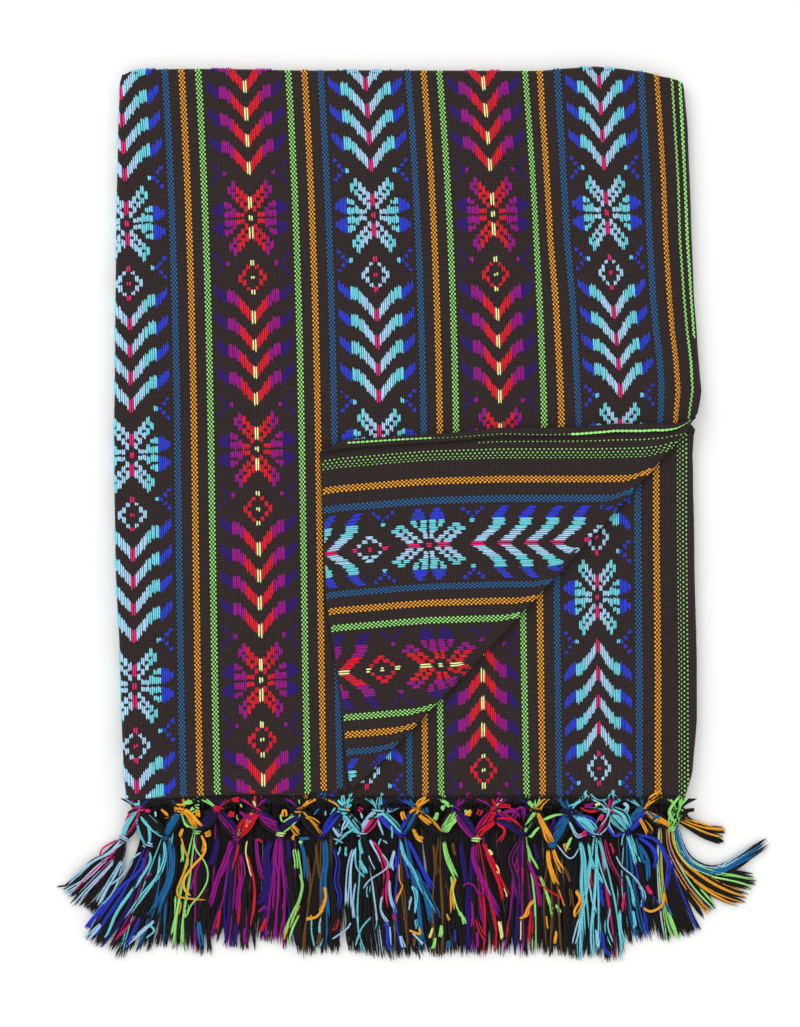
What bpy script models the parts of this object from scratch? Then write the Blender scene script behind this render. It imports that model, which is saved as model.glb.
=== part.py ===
"""A folded rebozo shawl, lying flat with one corner of its top layer turned back.

The frame is in metres: +X to the viewer's right, +Y away from the fringe, +Z up from the surface it lies on.
Sizes in the tables and constants below are in millimetres.
"""

import bmesh
import bpy
import numpy as np

MM = 0.001

# Heights of the folded stack
CLOTH = 1.5  # one layer with its loft
GAP = 0.3  # between pieces that touch
HIDDEN_COUNT = 6
HIDDEN_TOP = HIDDEN_COUNT * CLOTH
SECOND_MID = HIDDEN_TOP + GAP + CLOTH / 2
TOP_MID = SECOND_MID + CLOTH + GAP
TURN_MID = TOP_MID + CLOTH + GAP
FOLD_R = (CLOTH + GAP) / 2  # a crosswise or diagonal fold, at the middle of the cloth

# The lengthwise fold at the left goes round the whole stack, pressed to an ellipse
LEFT_OUT = 3.2
LEFT_HIGH = (TOP_MID - CLOTH / 2) / 2
LEFT_MID = LEFT_HIGH + CLOTH / 2

# The diagonal fold of the turned corner
FOLD_HEAD = np.array((185.0, 13.5))
FOLD_FOOT = np.array((-36.0, -224.5))
FOLD_BOW = 2.2
FOLD_CLEAR = 0.9  # between the end of a roll and the layer that it meets

# The selvedge that rolls over on itself along the top of the turned corner
CURL_R = 0.95
CURL_STATIONS = (6.2, 4.6, 3.0, 2.2, 1.5, 0.75)  # cloth lengths from where it leaves the flat
CURL_END = (158.0, 180.0)  # where it opens out flat

# The selvedges hang a little way over the right side of the stack
TOP_HANG = 11.0  # cloth from where it starts to bend
TOP_BEND = 9.0  # cloth in the quarter turn
HANG_FROM = 17.0  # height in the layout where the top layer starts to hang
HANG_RISE = 32.0
SECOND_HANG = 5.5
SECOND_BEND = 4.7
SECOND_HANG_FROM = 2.0
SECOND_INSET = 7.4  # right edge of the second layer inside the bend of the top layer

# The fringe and the knotted strip that it hangs from
FRINGE_EDGE = -232.8  # woven end of the second layer
KNOT_Y = -236.05
KNOT_Z = 8.3
KNOT_HALF = np.array((2.7, 2.95, 2.2))
HEADING_LIFT = 1.3  # its upper rim rises to the woven end
HEAD_Z = 3.7


def table(columns, *rows):
    """A short table as a dictionary of its named columns."""
    return {name: np.array([row[i] for row in rows], float) for i, name in enumerate(columns.split())}


# Outline of the stack at each height of the layout, and of the second layer where it shows
SIDES = table(
    "y left right",
    (-240, -178.5, 177.0),
    (-229, -179.2, 180.5),
    (-211, -180.8, 184.9),
    (-179, -182.0, 187.5),
    (-144, -183.0, 187.5),
    (-77, -186.0, 185.9),
    (-32, -186.6, 184.2),
    (6, -186.9, 184.0),
    (15, -186.8, 186.0),
    (32, -186.5, 189.2),
    (64, -186.2, 186.6),
    (96, -185.9, 184.3),
    (144, -185.4, 182.6),
    (198, -184.3, 180.6),
    (228, -183.2, 178.0),
    (240, -182.0, 174.0),
)
ENDS = table(
    "x top bottom",
    (-183, 233.6, -229.5),
    (-178, 236.6, -230.4),
    (-168, 238.0, -230.4),
    (-141, 238.4, -228.6),
    (-118, 238.4, -227.2),
    (-67, 237.5, -227.2),
    (-50, 237.4, -224.8),
    (-36, 237.6, -224.3),
    (110, 239.7, -224.3),
    (144, 238.2, -224.3),
    (168, 233.4, -224.3),
    (180, 230.0, -224.3),
)
# Upper edge and free end of the turned corner
TURN_TOP = table("x y", (-54, -10.9), (-44, -7.0), (-37, -3.2), (-16, 1.3), (16, 3.5), (125, 5.6), (190, 8.0))
TURN_LEVEL = 4.5
TURN_DEPTH = 225.0
TURN_LEFT = table("y x", (-230, -36.0), (-208, -37.8), (-166, -41.0), (-102, -51.2), (-10, -54.4))

# How far each hidden layer lies inside the outline: its folds, selvedges and ends never lie quite true
HIDDEN = table(
    "top right bottom",
    (3.4, 2.8, 4.0),
    (3.4, 4.6, 6.5),
    (2.6, 3.4, 3.2),
    (2.6, 5.2, 5.4),
    (3.8, 3.0, 3.6),
    (3.8, 4.4, 4.6),
)

KNOTS = (-170.2, -144, -119.9, -95.4, -67.2, -39.7, -17, 7, 32.6, 57.6, 83.8, 106, 130.5, 152.3, 175.0)
# Each tassel: its knot, the two ends of the line that its tips reach, and the heading knots that feed it
TASSELS = table(
    "x y left_x left_y right_x right_y first last",
    (-180.6, -256.0, -223.4, -289.3, -202.5, -300.0, 0, 0),
    (-165.5, -260.5, -204.0, -321.0, -189.0, -327.0, 0, 0),
    (-154.0, -254.5, -184.5, -328.0, -164.0, -322.0, 0, 1),
    (-134.0, -251.0, -159.5, -319.0, -134.5, -327.0, 1, 2),
    (-108.2, -255.0, -131.0, -323.5, -111.0, -319.0, 2, 3),
    (-80.0, -252.5, -107.5, -324.5, -83.0, -319.0, 3, 4),
    (-53.4, -255.0, -79.5, -324.5, -56.0, -326.0, 4, 5),
    (-27.7, -253.0, -52.5, -327.0, -28.5, -324.5, 5, 6),
    (-1.6, -253.0, -25.0, -326.0, -1.5, -330.0, 6, 7),
    (23.4, -252.5, 2.5, -327.0, 24.5, -323.0, 7, 8),
    (45.8, -256.0, 28.5, -324.5, 51.5, -321.5, 8, 9),
    (76.2, -252.5, 55.5, -326.5, 76.5, -324.0, 9, 10),
    (95.0, -260.0, 80.0, -324.5, 97.5, -328.0, 10, 11),
    (123.3, -253.5, 101.5, -324.5, 134.0, -330.5, 11, 12),
    (143.0, -251.0, 138.0, -323.5, 160.0, -317.0, 12, 13),
    (171.5, -249.0, 169.0, -321.0, 230.5, -262.0, 14, 14),
)
STRAND_COLUMNS = 6
STRAND_ROWS = 2
STRAND_STEPS = 4
STRAND_HALF = (0.36, 0.5)  # across at the knot, and up
STRAND_SPREAD = 0.5  # more across at the tip
TIP_Z = (1.0, 2.9)  # lower and upper row of yarns


def read_table(rows, at, key, column):
    """A column of a table at any place, eased between its rows."""
    keys = rows[key]
    index = np.clip(np.searchsorted(keys, at) - 1, 0, len(keys) - 2)
    part = np.clip((at - keys[index]) / (keys[index + 1] - keys[index]), 0, 1)
    part = 0.5 * part + 0.5 * part * part * (3 - 2 * part)
    return rows[column][index] * (1 - part) + rows[column][index + 1] * part


def ease(share):
    """A share held between 0 and 1 and eased at both ends."""
    share = np.clip(share, 0, 1)
    return share * share * (3 - 2 * share)


def bent_edge(length, bend, share):
    """A cloth edge that turns down: how far along, how far down and the way out, from summed short steps."""
    stations = np.array((0.0, 0.25, 0.5, 0.75, 1.0, length / bend)) * bend
    steps = np.linspace(0, length, 89)
    heading = share * np.pi / 2 * np.minimum(steps / bend, 1)
    step = steps[1]
    along = np.concatenate([[0], np.cumsum(np.cos(heading[:-1])) * step])
    down = np.concatenate([[0], np.cumsum(np.sin(heading[:-1])) * step])
    angle = share * np.pi / 2 * np.minimum(stations / bend, 1)
    out = np.stack([np.sin(angle), np.cos(angle)], axis=1)
    return np.interp(stations, steps, along), -np.interp(stations, steps, down), out


def fold_x(y):
    """Where the diagonal fold crosses a height: a straight line with a slight bow to the lower right."""
    part = (y - FOLD_HEAD[1]) / (FOLD_FOOT[1] - FOLD_HEAD[1])
    bow = FOLD_BOW * 4 * np.clip(part, 0, 1) * (1 - np.clip(part, 0, 1))
    return FOLD_HEAD[0] + part * (FOLD_FOOT[0] - FOLD_HEAD[0]) + bow * 1.4


def fold_normal():
    """Unit vector square to the diagonal fold, towards the lower right."""
    along = (FOLD_FOOT - FOLD_HEAD) / np.linalg.norm(FOLD_FOOT - FOLD_HEAD)
    return np.array((-along[1], along[0]))


def material(name, colour, roughness):
    found = bpy.data.materials.new(name)
    found.use_nodes = True
    surface = found.node_tree.nodes["Principled BSDF"]
    surface.inputs["Base Color"].default_value = (*colour, 1)
    surface.inputs["Roughness"].default_value = roughness
    surface.inputs["Metallic"].default_value = 0
    return found


def add_object(name, points, faces, finish):
    """One closed body from its points in millimetres."""
    mesh = bpy.data.meshes.new(name)
    mesh.from_pydata([tuple(p) for p in np.asarray(points) * MM], [], faces)
    body = bmesh.new()
    body.from_mesh(mesh)
    bmesh.ops.recalc_face_normals(body, faces=body.faces[:])
    bmesh.ops.triangulate(body, faces=[f for f in body.faces if len(f.verts) > 3])
    body.to_mesh(mesh)
    body.free()
    mesh.materials.append(finish)
    mesh.shade_smooth()
    mesh.set_sharp_from_angle(angle=np.radians(50))
    made = bpy.data.objects.new(name, mesh)
    bpy.context.collection.objects.link(made)
    return made


def grid_normals(middle):
    """Unit normals of a grid of points."""
    down = np.gradient(middle, axis=0, edge_order=2)
    across = np.gradient(middle, axis=1, edge_order=2)
    normal = np.cross(down, across)
    return normal / np.linalg.norm(normal, axis=2, keepdims=True)


def add_sheet(name, middle, finish):
    """A wall of cloth, half its thickness to either side of a grid of points."""
    rows, columns = middle.shape[:2]
    offset = grid_normals(middle) * CLOTH / 2
    points = np.concatenate([(middle + offset).reshape(-1, 3), (middle - offset).reshape(-1, 3)])
    index = np.arange(rows * columns).reshape(rows, columns)
    other = index + rows * columns
    faces = []
    for side, turn in ((index, 1), (other, -1)):
        quads = np.stack([side[:-1, :-1], side[1:, :-1], side[1:, 1:], side[:-1, 1:]], axis=-1)
        faces += [tuple(int(i) for i in quad[::turn]) for quad in quads.reshape(-1, 4)]
    rim = np.concatenate([index[0, :-1], index[:-1, -1], index[-1, :0:-1], index[:0:-1, 0]])
    following = np.roll(rim, -1)
    back = rows * columns
    faces += [(int(a), int(b), int(b + back), int(a + back)) for a, b in zip(rim, following)]
    return add_object(name, points, faces, finish)


def flat_rows(top, bottom, count):
    """Heights from the top of a sheet to its bottom, closer together at both ends."""
    part = np.linspace(0, 1, count)
    part = 0.5 * part + 0.25 * (1 - np.cos(np.pi * part))
    return top + (bottom - top) * part


def end_height(x, part):
    """Height at a share of the way from the top edge to the bottom edge of the top layer."""
    top = read_table(ENDS, x, "x", "top") - FOLD_R - CLOTH / 2
    bottom = read_table(ENDS, x, "x", "bottom")
    return top + (bottom - top) * part


def top_layer(finish):
    """The front of the cloth: over the top fold, round the left fold, and down to the diagonal fold."""
    turn = np.linspace(np.pi, 0, 8)
    flat = np.linspace(0, 1, 12)[1:]
    wrap = np.linspace(np.pi, 0, 6)[:-1]
    nominal = flat_rows(234.0, -226.0, 20)
    levels = np.sort(np.append(nominal, FOLD_HEAD[1] + 3.5))[::-1]
    rows = []
    for height, roll in [(levels[0], angle) for angle in wrap] + [(level, 0.0) for level in levels]:
        part = (levels[0] - height) / (levels[0] - levels[-1])
        left = read_table(SIDES, height, "y", "left") + CLOTH / 2 + LEFT_OUT
        right = read_table(SIDES, height, "y", "right")
        right = min(right, fold_x(height) - FOLD_CLEAR)
        share = ease((height - HANG_FROM) / HANG_RISE)
        edge_x, edge_z, edge_out = bent_edge(TOP_HANG, TOP_BEND, share)
        right = right - edge_x[-1] - CLOTH / 2 * share
        x = np.concatenate([left - LEFT_OUT * np.sin(turn), left + (right - left) * flat, right + edge_x[1:]])
        z = np.concatenate([LEFT_MID + LEFT_HIGH * np.cos(turn), np.full(len(flat), TOP_MID), TOP_MID + edge_z[1:]])
        # The way in from the surface: down where it is flat, towards the fold's axis round the left
        out = np.stack([-np.sin(turn) * LEFT_HIGH, np.cos(turn) * LEFT_OUT], axis=1)
        out = out / np.linalg.norm(out, axis=1, keepdims=True)
        out = np.concatenate([out, np.tile((0.0, 1.0), (len(flat), 1)), edge_out[1:]])
        depth = FOLD_R * (1 - np.cos(roll))
        y = end_height(x, part)
        # Beside the diagonal each row ends at its own height on the fold
        drawn = np.clip((60 - height) / 40, 0, 1) * np.clip((x - left) / (right - left), 0, 1) ** 2
        y = y + (height - y[-1]) * drawn + FOLD_R * np.sin(roll)
        rows.append(np.stack([x - out[:, 0] * depth, y, z - out[:, 1] * depth], axis=1))
    return add_sheet("top_layer", np.array(rows), finish)


def second_layer(finish):
    """The layer below, out to its own selvedge and its woven end."""
    rows = []
    for part in np.linspace(0, 1, 15):
        level = 234.0 + (FRINGE_EDGE - 234.0) * part
        left = read_table(SIDES, level, "y", "left") + CLOTH / 2 + LEFT_OUT + 2 * GAP
        share = ease((SECOND_HANG_FROM - level) / 20)
        edge_x, edge_z, _ = bent_edge(SECOND_HANG, SECOND_BEND, share)
        inset = SECOND_INSET * np.clip((level - 5) / 11, 0, 1) + CLOTH / 2 * share
        # Where the top layer only starts to hang, its bend begins further in
        inset += 4.5 * np.clip((level - 8) / 9, 0, 1) * np.clip((64 - level) / 12, 0, 1)
        right = read_table(SIDES, level, "y", "right") - inset - edge_x[-1]
        x = np.concatenate([left + (right - left) * np.linspace(0, 1, 11), right + edge_x[1:]])
        z = np.concatenate([np.full(11, SECOND_MID), SECOND_MID + edge_z[1:]])
        top = read_table(ENDS, x, "x", "top") - FOLD_R - CLOTH / 2 - FOLD_CLEAR
        y = top + (FRINGE_EDGE - top) * part
        rows.append(np.stack([x, y, z], axis=1))
    return add_sheet("second_layer", np.array(rows), finish)


def curl_at(length, x):
    """How far up the page and off the cloth a point of the rolled selvedge lies, by adding up short steps."""
    rolled = np.clip((CURL_END[1] - x) / (CURL_END[1] - CURL_END[0]), 0, 1)
    steps = np.linspace(0, length, 24)
    heading = np.minimum(steps / CURL_R, np.pi) * rolled
    step = length / (len(steps) - 1)
    return np.sum(np.cos(heading[:-1])) * step, np.sum(np.sin(heading[:-1])) * step


def turned_corner(finish):
    """The turned corner: its rolled selvedge on top, its rows, and the roll over the diagonal fold."""
    normal = fold_normal()
    share = normal[0]  # how much of a step along a row is square to the fold
    flat = np.linspace(0, 1, 12)
    over = np.linspace(0, np.pi * FOLD_R / share, 7)[1:]
    drops = np.concatenate([np.zeros(len(CURL_STATIONS)), TURN_DEPTH * np.linspace(0, 1, 15) ** 0.9])
    curls = np.concatenate([CURL_STATIONS, np.zeros(15)])
    rows = []
    for drop, curl in zip(drops, curls):
        lean = 1 - 0.5 * drop / TURN_DEPTH
        edge = TURN_LEVEL - drop
        end = fold_x(edge)
        for _ in range(4):
            height = edge + (read_table(TURN_TOP, end, "x", "y") - TURN_LEVEL) * lean
            end = fold_x(height + curl_at(curl, end)[0])
        left = read_table(TURN_LEFT, edge, "y", "x")
        left = min(left, end - 1.5)
        x = np.concatenate([left + (end - left) * flat, end + over])
        y = edge + (read_table(TURN_TOP, np.minimum(x, end), "x", "y") - TURN_LEVEL) * lean
        lift = np.array([curl_at(curl, place) for place in np.minimum(x, end)])
        y = y + lift[:, 0]
        beyond = np.maximum((x - fold_x(y)) * share, 0)
        angle = beyond / FOLD_R
        radius = FOLD_R + lift[:, 1]
        x = x - normal[0] * beyond + normal[0] * radius * np.sin(angle)
        y = y - normal[1] * beyond + normal[1] * radius * np.sin(angle)
        z = TURN_MID - FOLD_R + radius * np.cos(angle)
        rows.append(np.stack([x, y, z], axis=1))
    return add_sheet("turned_corner", np.array(rows), finish)


def rounded_square(side_count, corner):
    """Points round the square from -1 to 1, with small round corners."""
    reach = 1 - corner
    side = np.linspace(-reach, reach, side_count)
    arc = np.linspace(0, np.pi / 2, 5)[1:-1]
    right = np.stack([np.ones(side_count), side], axis=1)
    bend = np.stack([reach + corner * np.cos(arc), reach + corner * np.sin(arc)], axis=1)
    quarter = np.concatenate([right, bend])
    turned = [quarter]
    for _ in range(3):
        quarter = np.stack([-quarter[:, 1], quarter[:, 0]], axis=1)
        turned.append(quarter)
    return np.concatenate(turned)


def hidden_layers(finish):
    """All the layers below as one solid, with a groove between each layer and the next along its edges."""
    around = rounded_square(12, 0.03)
    rings = []
    for layer in range(HIDDEN_COUNT):
        for rise, groove in ((0.0, 1.0), (0.35, 0.25), (1.15, 0.25)):
            rings.append((layer, layer * CLOTH + rise, groove))
    rings.append((HIDDEN_COUNT - 1, HIDDEN_TOP, 1.0))
    points = []
    for layer, z, groove in rings:
        # Crosswise folds join the layers two by two at the top, so only every second groove is there
        fold_share = (z % (2 * CLOTH)) / (2 * CLOTH)
        fold_groove = 1.5 * (1 - np.sqrt(max(0.0, 1 - (2 * fold_share - 1) ** 2)))
        level = 4.0 + around[:, 1] * 230.0
        left = read_table(SIDES, level, "y", "left") + CLOTH / 2 + LEFT_OUT
        if z < CLOTH + 2 * GAP:
            left = left + 2 * GAP
        else:
            reach = (z - LEFT_MID) / (LEFT_HIGH - CLOTH / 2 - 2 * GAP)
            left = left - (LEFT_OUT - CLOTH / 2 - 2 * GAP) * np.sqrt(max(0.0, 1 - reach * reach))
        right = read_table(SIDES, level, "y", "right") - HIDDEN["right"][layer] - 0.6 * groove
        x = left + (right - left) * (around[:, 0] + 1) / 2
        top = read_table(ENDS, x, "x", "top") - HIDDEN["top"][layer] - fold_groove
        bottom = np.full(len(x), FRINGE_EDGE) + HIDDEN["bottom"][layer] + 0.6 * groove
        y = bottom + (top - bottom) * (around[:, 1] + 1) / 2
        points.append(np.stack([x, y, np.full(len(x), z)], axis=1))
    count = len(around)
    index = np.arange(len(points) * count).reshape(len(points), count)
    following = np.roll(index, -1, axis=1)
    faces = [
        (int(index[r, c]), int(following[r, c]), int(following[r + 1, c]), int(index[r + 1, c]))
        for r in range(len(points) - 1)
        for c in range(count)
    ]
    faces.append(tuple(int(i) for i in index[0, ::-1]))
    faces.append(tuple(int(i) for i in index[-1]))
    return add_object("hidden_layers", np.concatenate(points), faces, finish)


def fringe_heading(finish):
    """The end of the second layer drawn into its first row of knots: a strip that swells at each knot."""
    sides = np.linspace(0, 2 * np.pi, 7)[:-1]
    sections = [(KNOTS[0] - 4.0, 0.7)]
    for knot in KNOTS:
        sections += [(knot - 1.6, 0.78), (knot, 1.0), (knot + 1.6, 0.78)]
        if knot != KNOTS[-1]:
            following = KNOTS[KNOTS.index(knot) + 1]
            sections.append(((knot + following) / 2, 0.36))
    sections.append((KNOTS[-1] + 3.4, 0.5))
    points = []
    for x, swell in sections:
        lean = (1 - swell) * 1.6
        y = KNOT_Y + KNOT_HALF[1] * swell * np.cos(sides) + lean
        y = np.minimum(y, FRINGE_EDGE - GAP)
        z = KNOT_Z + KNOT_HALF[2] * swell * np.sin(sides) + lean + HEADING_LIFT * (1 + np.cos(sides)) / 2
        points.append(np.stack([np.full(len(sides), x), y, z], axis=1))
    count = len(sides)
    index = np.arange(len(points) * count).reshape(len(points), count)
    following = np.roll(index, -1, axis=1)
    faces = [
        (int(index[r, c]), int(following[r, c]), int(following[r + 1, c]), int(index[r + 1, c]))
        for r in range(len(points) - 1)
        for c in range(count)
    ]
    faces.append(tuple(int(i) for i in index[0, ::-1]))
    faces.append(tuple(int(i) for i in index[-1]))
    return add_object("fringe_heading", np.concatenate(points), faces, finish)


def tassel(name, row, finish):
    """A knot whose lower face opens into yarns and whose upper face opens into the half bundles that feed it."""
    knot = np.array((row["x"], row["y"], HEAD_Z))
    tips = np.array(((row["left_x"], row["left_y"]), (row["right_x"], row["right_y"])))
    down = np.array((*(tips.mean(axis=0) - knot[:2]), 0.0))
    down[0] *= 0.8
    down = down / np.linalg.norm(down)
    across = np.array((-down[1], down[0], 0.0))
    up = np.array((0.0, 0.0, 1.0))
    columns, layers = STRAND_COLUMNS, STRAND_ROWS
    column_place = np.linspace(-1, 1, columns + 1)
    layer_place = np.linspace(-1, 1, layers + 1)
    points, faces = [], []

    def add_grid(along, half_width, half_height, bulge):
        """A flat grid of points across the tassel, its rim pressed towards an ellipse."""
        start = len(points)
        for a in column_place:
            for b in layer_place:
                reach = max(abs(a), abs(b))
                circle = reach / max(np.hypot(a, b), 1e-9) if reach else 1.0
                shape = 1 + (circle - 1) * bulge
                points.append(knot + down * along + across * a * shape * half_width + up * b * shape * half_height)
        return np.arange(start, len(points)).reshape(columns + 1, layers + 1)

    def rim(grid):
        return np.concatenate([grid[:-1, 0], grid[-1, :-1], grid[:0:-1, -1], grid[0, :0:-1]])

    def add_run(cell, path, half, spread=0.0):
        """A four-sided yarn or bundle from one cell of a grid along a path."""
        last = cell
        for place in range(1, len(path)):
            ahead = path[min(place + 1, len(path) - 1)] - path[place - 1]
            side = np.array((-ahead[1], ahead[0], 0.0))
            side = side / np.linalg.norm(side)
            if np.dot(side, across) < 0:
                side = -side
            rise = np.cross(ahead / np.linalg.norm(ahead), side)
            rise = rise if rise[2] > 0 else -rise
            taper = 0.6 if place == len(path) - 1 else 1.0
            start = len(points)
            for a, b in ((-1, -1), (1, -1), (1, 1), (-1, 1)):
                wide = half[0] + spread * max(place - 1, 0) / (len(path) - 2)
                points.append(path[place] + side * a * wide * taper + rise * b * half[1] * taper)
            fresh = list(range(start, start + 4))
            faces.extend((last[k], last[(k + 1) % 4], fresh[(k + 1) % 4], fresh[k]) for k in range(4))
            last = fresh
        faces.append(tuple(last))

    def cell_of(grid, column, layer):
        return [int(grid[column + a, layer + b]) for a, b in ((0, 0), (1, 0), (1, 1), (0, 1))]

    upper = add_grid(-2.4, 2.2, 1.4, 0.6)
    collar = add_grid(-0.8, 2.9, 1.9, 0.9)
    waist = add_grid(0.9, 2.6, 1.7, 0.9)
    lower = add_grid(2.6, 3.3, 1.6, 0.3)
    for above, below in ((upper, collar), (collar, waist), (waist, lower)):
        first, second = rim(above), rim(below)
        for k in range(len(first)):
            n = (k + 1) % len(first)
            faces.append((int(first[k]), int(first[n]), int(second[n]), int(second[k])))

    for column in range(columns):
        part = (column + 0.5) / columns
        for layer in range(layers):
            offset = (layer - 0.5) * 0.18 / columns
            tip = tips[0] + (tips[1] - tips[0]) * (part + offset)
            # Every third yarn is cut a little shorter, as a hand-cut fringe is
            tip = tip + (knot[:2] - tip) * (0.06 * ((column + 2 * layer) % 3))
            cell = cell_of(lower, column, layer)
            root = np.mean([points[i] for i in cell], axis=0)
            bend = root[:2] + down[:2] * 0.5 * np.linalg.norm(tip - root[:2])
            bend = bend + (tip - root[:2]) * 0.12
            path = []
            for t in np.linspace(0, 1, STRAND_STEPS + 1):
                flat = root[:2] * (1 - t) ** 2 + bend * 2 * t * (1 - t) + tip * t * t
                z = root[2] + (TIP_Z[layer] - root[2]) * (1 - (1 - t) ** 2)
                path.append(np.array((*flat, z)))
            add_run(cell, path, STRAND_HALF, STRAND_SPREAD)

    feeding = sorted({int(row["first"]), int(row["last"])})
    for column in range(columns):
        for layer in range(layers):
            leg = [k for k in range(len(feeding)) if column == (1 + 3 * k) and layer == 1]
            cell = cell_of(upper, column, layer)
            if not leg:
                faces.append(tuple(cell))
                continue
            source = np.array((KNOTS[feeding[leg[0]]], KNOT_Y, KNOT_Z))
            root = np.mean([points[i] for i in cell], axis=0)
            away = root - source
            away[2] *= 0.9
            away = away / np.linalg.norm(away)
            reach = 1 / np.linalg.norm(away / KNOT_HALF)
            end = source + away * (reach + 2 * GAP)
            path = [root + (end - root) * t + up * 0.8 * np.sin(np.pi * t) for t in np.linspace(0, 1, 4)]
            add_run(cell, path, (1.15, 0.8))

    # Inner points of the middle grids carry no face
    used = sorted({i for face in faces for i in face})
    renumber = {old: new for new, old in enumerate(used)}
    faces = [tuple(renumber[i] for i in face) for face in faces]
    return add_object(name, [points[i] for i in used], faces, finish)


def build():
    for old in list(bpy.data.objects):
        bpy.data.objects.remove(old, do_unlink=True)
    front = material("cloth_front", (0.05, 0.035, 0.04), 0.85)
    back = material("cloth_back", (0.04, 0.035, 0.045), 0.85)
    under = material("cloth_under", (0.03, 0.025, 0.028), 0.88)
    yarn = material("fringe_yarn", (0.05, 0.05, 0.09), 0.8)
    hidden_layers(under)
    second_layer(back)
    top_layer(front)
    turned_corner(back)
    fringe_heading(yarn)
    for number in range(len(TASSELS["x"])):
        row = {name: column[number] for name, column in TASSELS.items()}
        tassel(f"tassel_{number + 1:02d}", row, yarn)


build()
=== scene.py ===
import bmesh
import bpy
import numpy as np
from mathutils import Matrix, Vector


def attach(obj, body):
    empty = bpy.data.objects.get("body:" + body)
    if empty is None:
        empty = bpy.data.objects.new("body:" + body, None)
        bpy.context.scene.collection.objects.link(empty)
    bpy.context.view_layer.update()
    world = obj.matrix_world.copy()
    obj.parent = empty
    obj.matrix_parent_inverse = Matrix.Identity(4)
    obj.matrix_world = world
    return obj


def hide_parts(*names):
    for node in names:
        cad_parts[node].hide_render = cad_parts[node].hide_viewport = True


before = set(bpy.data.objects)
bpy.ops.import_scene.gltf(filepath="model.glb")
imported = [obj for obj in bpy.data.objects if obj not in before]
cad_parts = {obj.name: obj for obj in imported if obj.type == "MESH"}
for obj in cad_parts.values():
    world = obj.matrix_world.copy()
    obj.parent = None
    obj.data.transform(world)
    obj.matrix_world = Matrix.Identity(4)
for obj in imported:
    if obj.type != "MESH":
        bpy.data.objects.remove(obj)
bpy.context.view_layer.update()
mm = 0.001
rng = np.random.default_rng(27)

# The folded stack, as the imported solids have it
stack = {
    "cloth": 1.5,
    "gap": 0.3,
    "hiddenLayers": 6,
    "secondMid": 10.05,
    "topMid": 11.85,
    "turnMid": 13.65,
    "foldRadius": 0.9,
    "leftOut": 3.2,  # the lengthwise fold, an ellipse round the whole stack
    "leftHigh": 5.55,
    "leftMid": 6.3,
    "topHang": 11.0,  # cloth that bends over the right side
    "topBend": 9.0,
    "hangFrom": 17.0,
    "hangRise": 32.0,
    "secondHang": 5.5,
    "secondBend": 4.7,
    "foldClear": 0.9,
    "wovenEnd": -232.8,
}
half = stack["cloth"] / 2

# Outline of the stack: y, left, right, and x, top, bottom
sideRows = np.array([
    (-240, -178.5, 177.0), (-229, -179.2, 180.5), (-211, -180.8, 184.9), (-179, -182.0, 187.5),
    (-144, -183.0, 187.5), (-77, -186.0, 185.9), (-32, -186.6, 184.2), (6, -186.9, 184.0),
    (15, -186.8, 186.0), (32, -186.5, 189.2), (64, -186.2, 186.6), (96, -185.9, 184.3),
    (144, -185.4, 182.6), (198, -184.3, 180.6), (228, -183.2, 178.0), (240, -182.0, 174.0),
])
endRows = np.array([
    (-183, 233.6, -229.5), (-178, 236.6, -230.4), (-168, 238.0, -230.4), (-141, 238.4, -228.6),
    (-118, 238.4, -227.2), (-67, 237.5, -227.2), (-50, 237.4, -224.8), (-36, 237.6, -224.3),
    (86, 237.2, -224.3), (104, 238.8, -224.3), (121, 240.0, -224.3), (137, 238.6, -224.3), (153, 236.6, -224.3),
    (168, 233.4, -224.3), (180, 229.0, -224.3),
])
foldHead = np.array((185.0, 13.5))  # the diagonal fold of the turned corner
foldFoot = np.array((-36.0, -224.5))


def ease(share):
    # 3t^2 - 2t^3, with t held between 0 and 1
    share = np.clip(share, 0, 1)
    return share * share * (3 - 2 * share)


def readRows(rows, at, column):
    # a straight line between rows, blended half and half with an eased one
    keys = rows[:, 0]
    index = np.clip(np.searchsorted(keys, at) - 1, 0, len(keys) - 2)
    part = np.clip((at - keys[index]) / (keys[index + 1] - keys[index]), 0, 1)
    part = 0.5 * part + 0.5 * ease(part)
    return rows[index, column] * (1 - part) + rows[index + 1, column] * part


def foldAcross(y):
    # x of the diagonal fold at a height: a straight line plus a shallow parabola
    part = (y - foldHead[1]) / (foldFoot[1] - foldHead[1])
    held = np.clip(part, 0, 1)
    return foldHead[0] + part * (foldFoot[0] - foldHead[0]) + 12.3 * held * (1 - held)


foldAlong = (foldFoot - foldHead) / np.linalg.norm(foldFoot - foldHead)
foldOut = np.array((-foldAlong[1], foldAlong[0]))  # square to the fold, to the lower right


def followNodes(value, nodes, results):
    # piecewise straight line whose nodes differ from point to point; the end pieces run on
    index = np.clip(sum((value > node).astype(int) for node in nodes[1:-1]), 0, len(nodes) - 2)
    nodes = np.array(np.broadcast_arrays(*nodes))
    low = np.take_along_axis(nodes, index[None], 0)[0]
    high = np.take_along_axis(nodes, index[None] + 1, 0)[0]
    return results[index] + (value - low) / (high - low) * (results[index + 1] - results[index])


def unit(vectors):
    return vectors / np.maximum(np.linalg.norm(vectors, axis=-1, keepdims=True), 1e-9)


def ripple(x, y):
    # how far cloth that was laid down by hand rises and falls: three crossing waves
    return (
        0.16 * np.sin(x / 31 + y / 57)
        + 0.13 * np.sin(y / 23 - x / 71 + 1.3)
        + 0.07 * np.sin(x / 13 + y / 37 + 0.7)
    )


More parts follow.
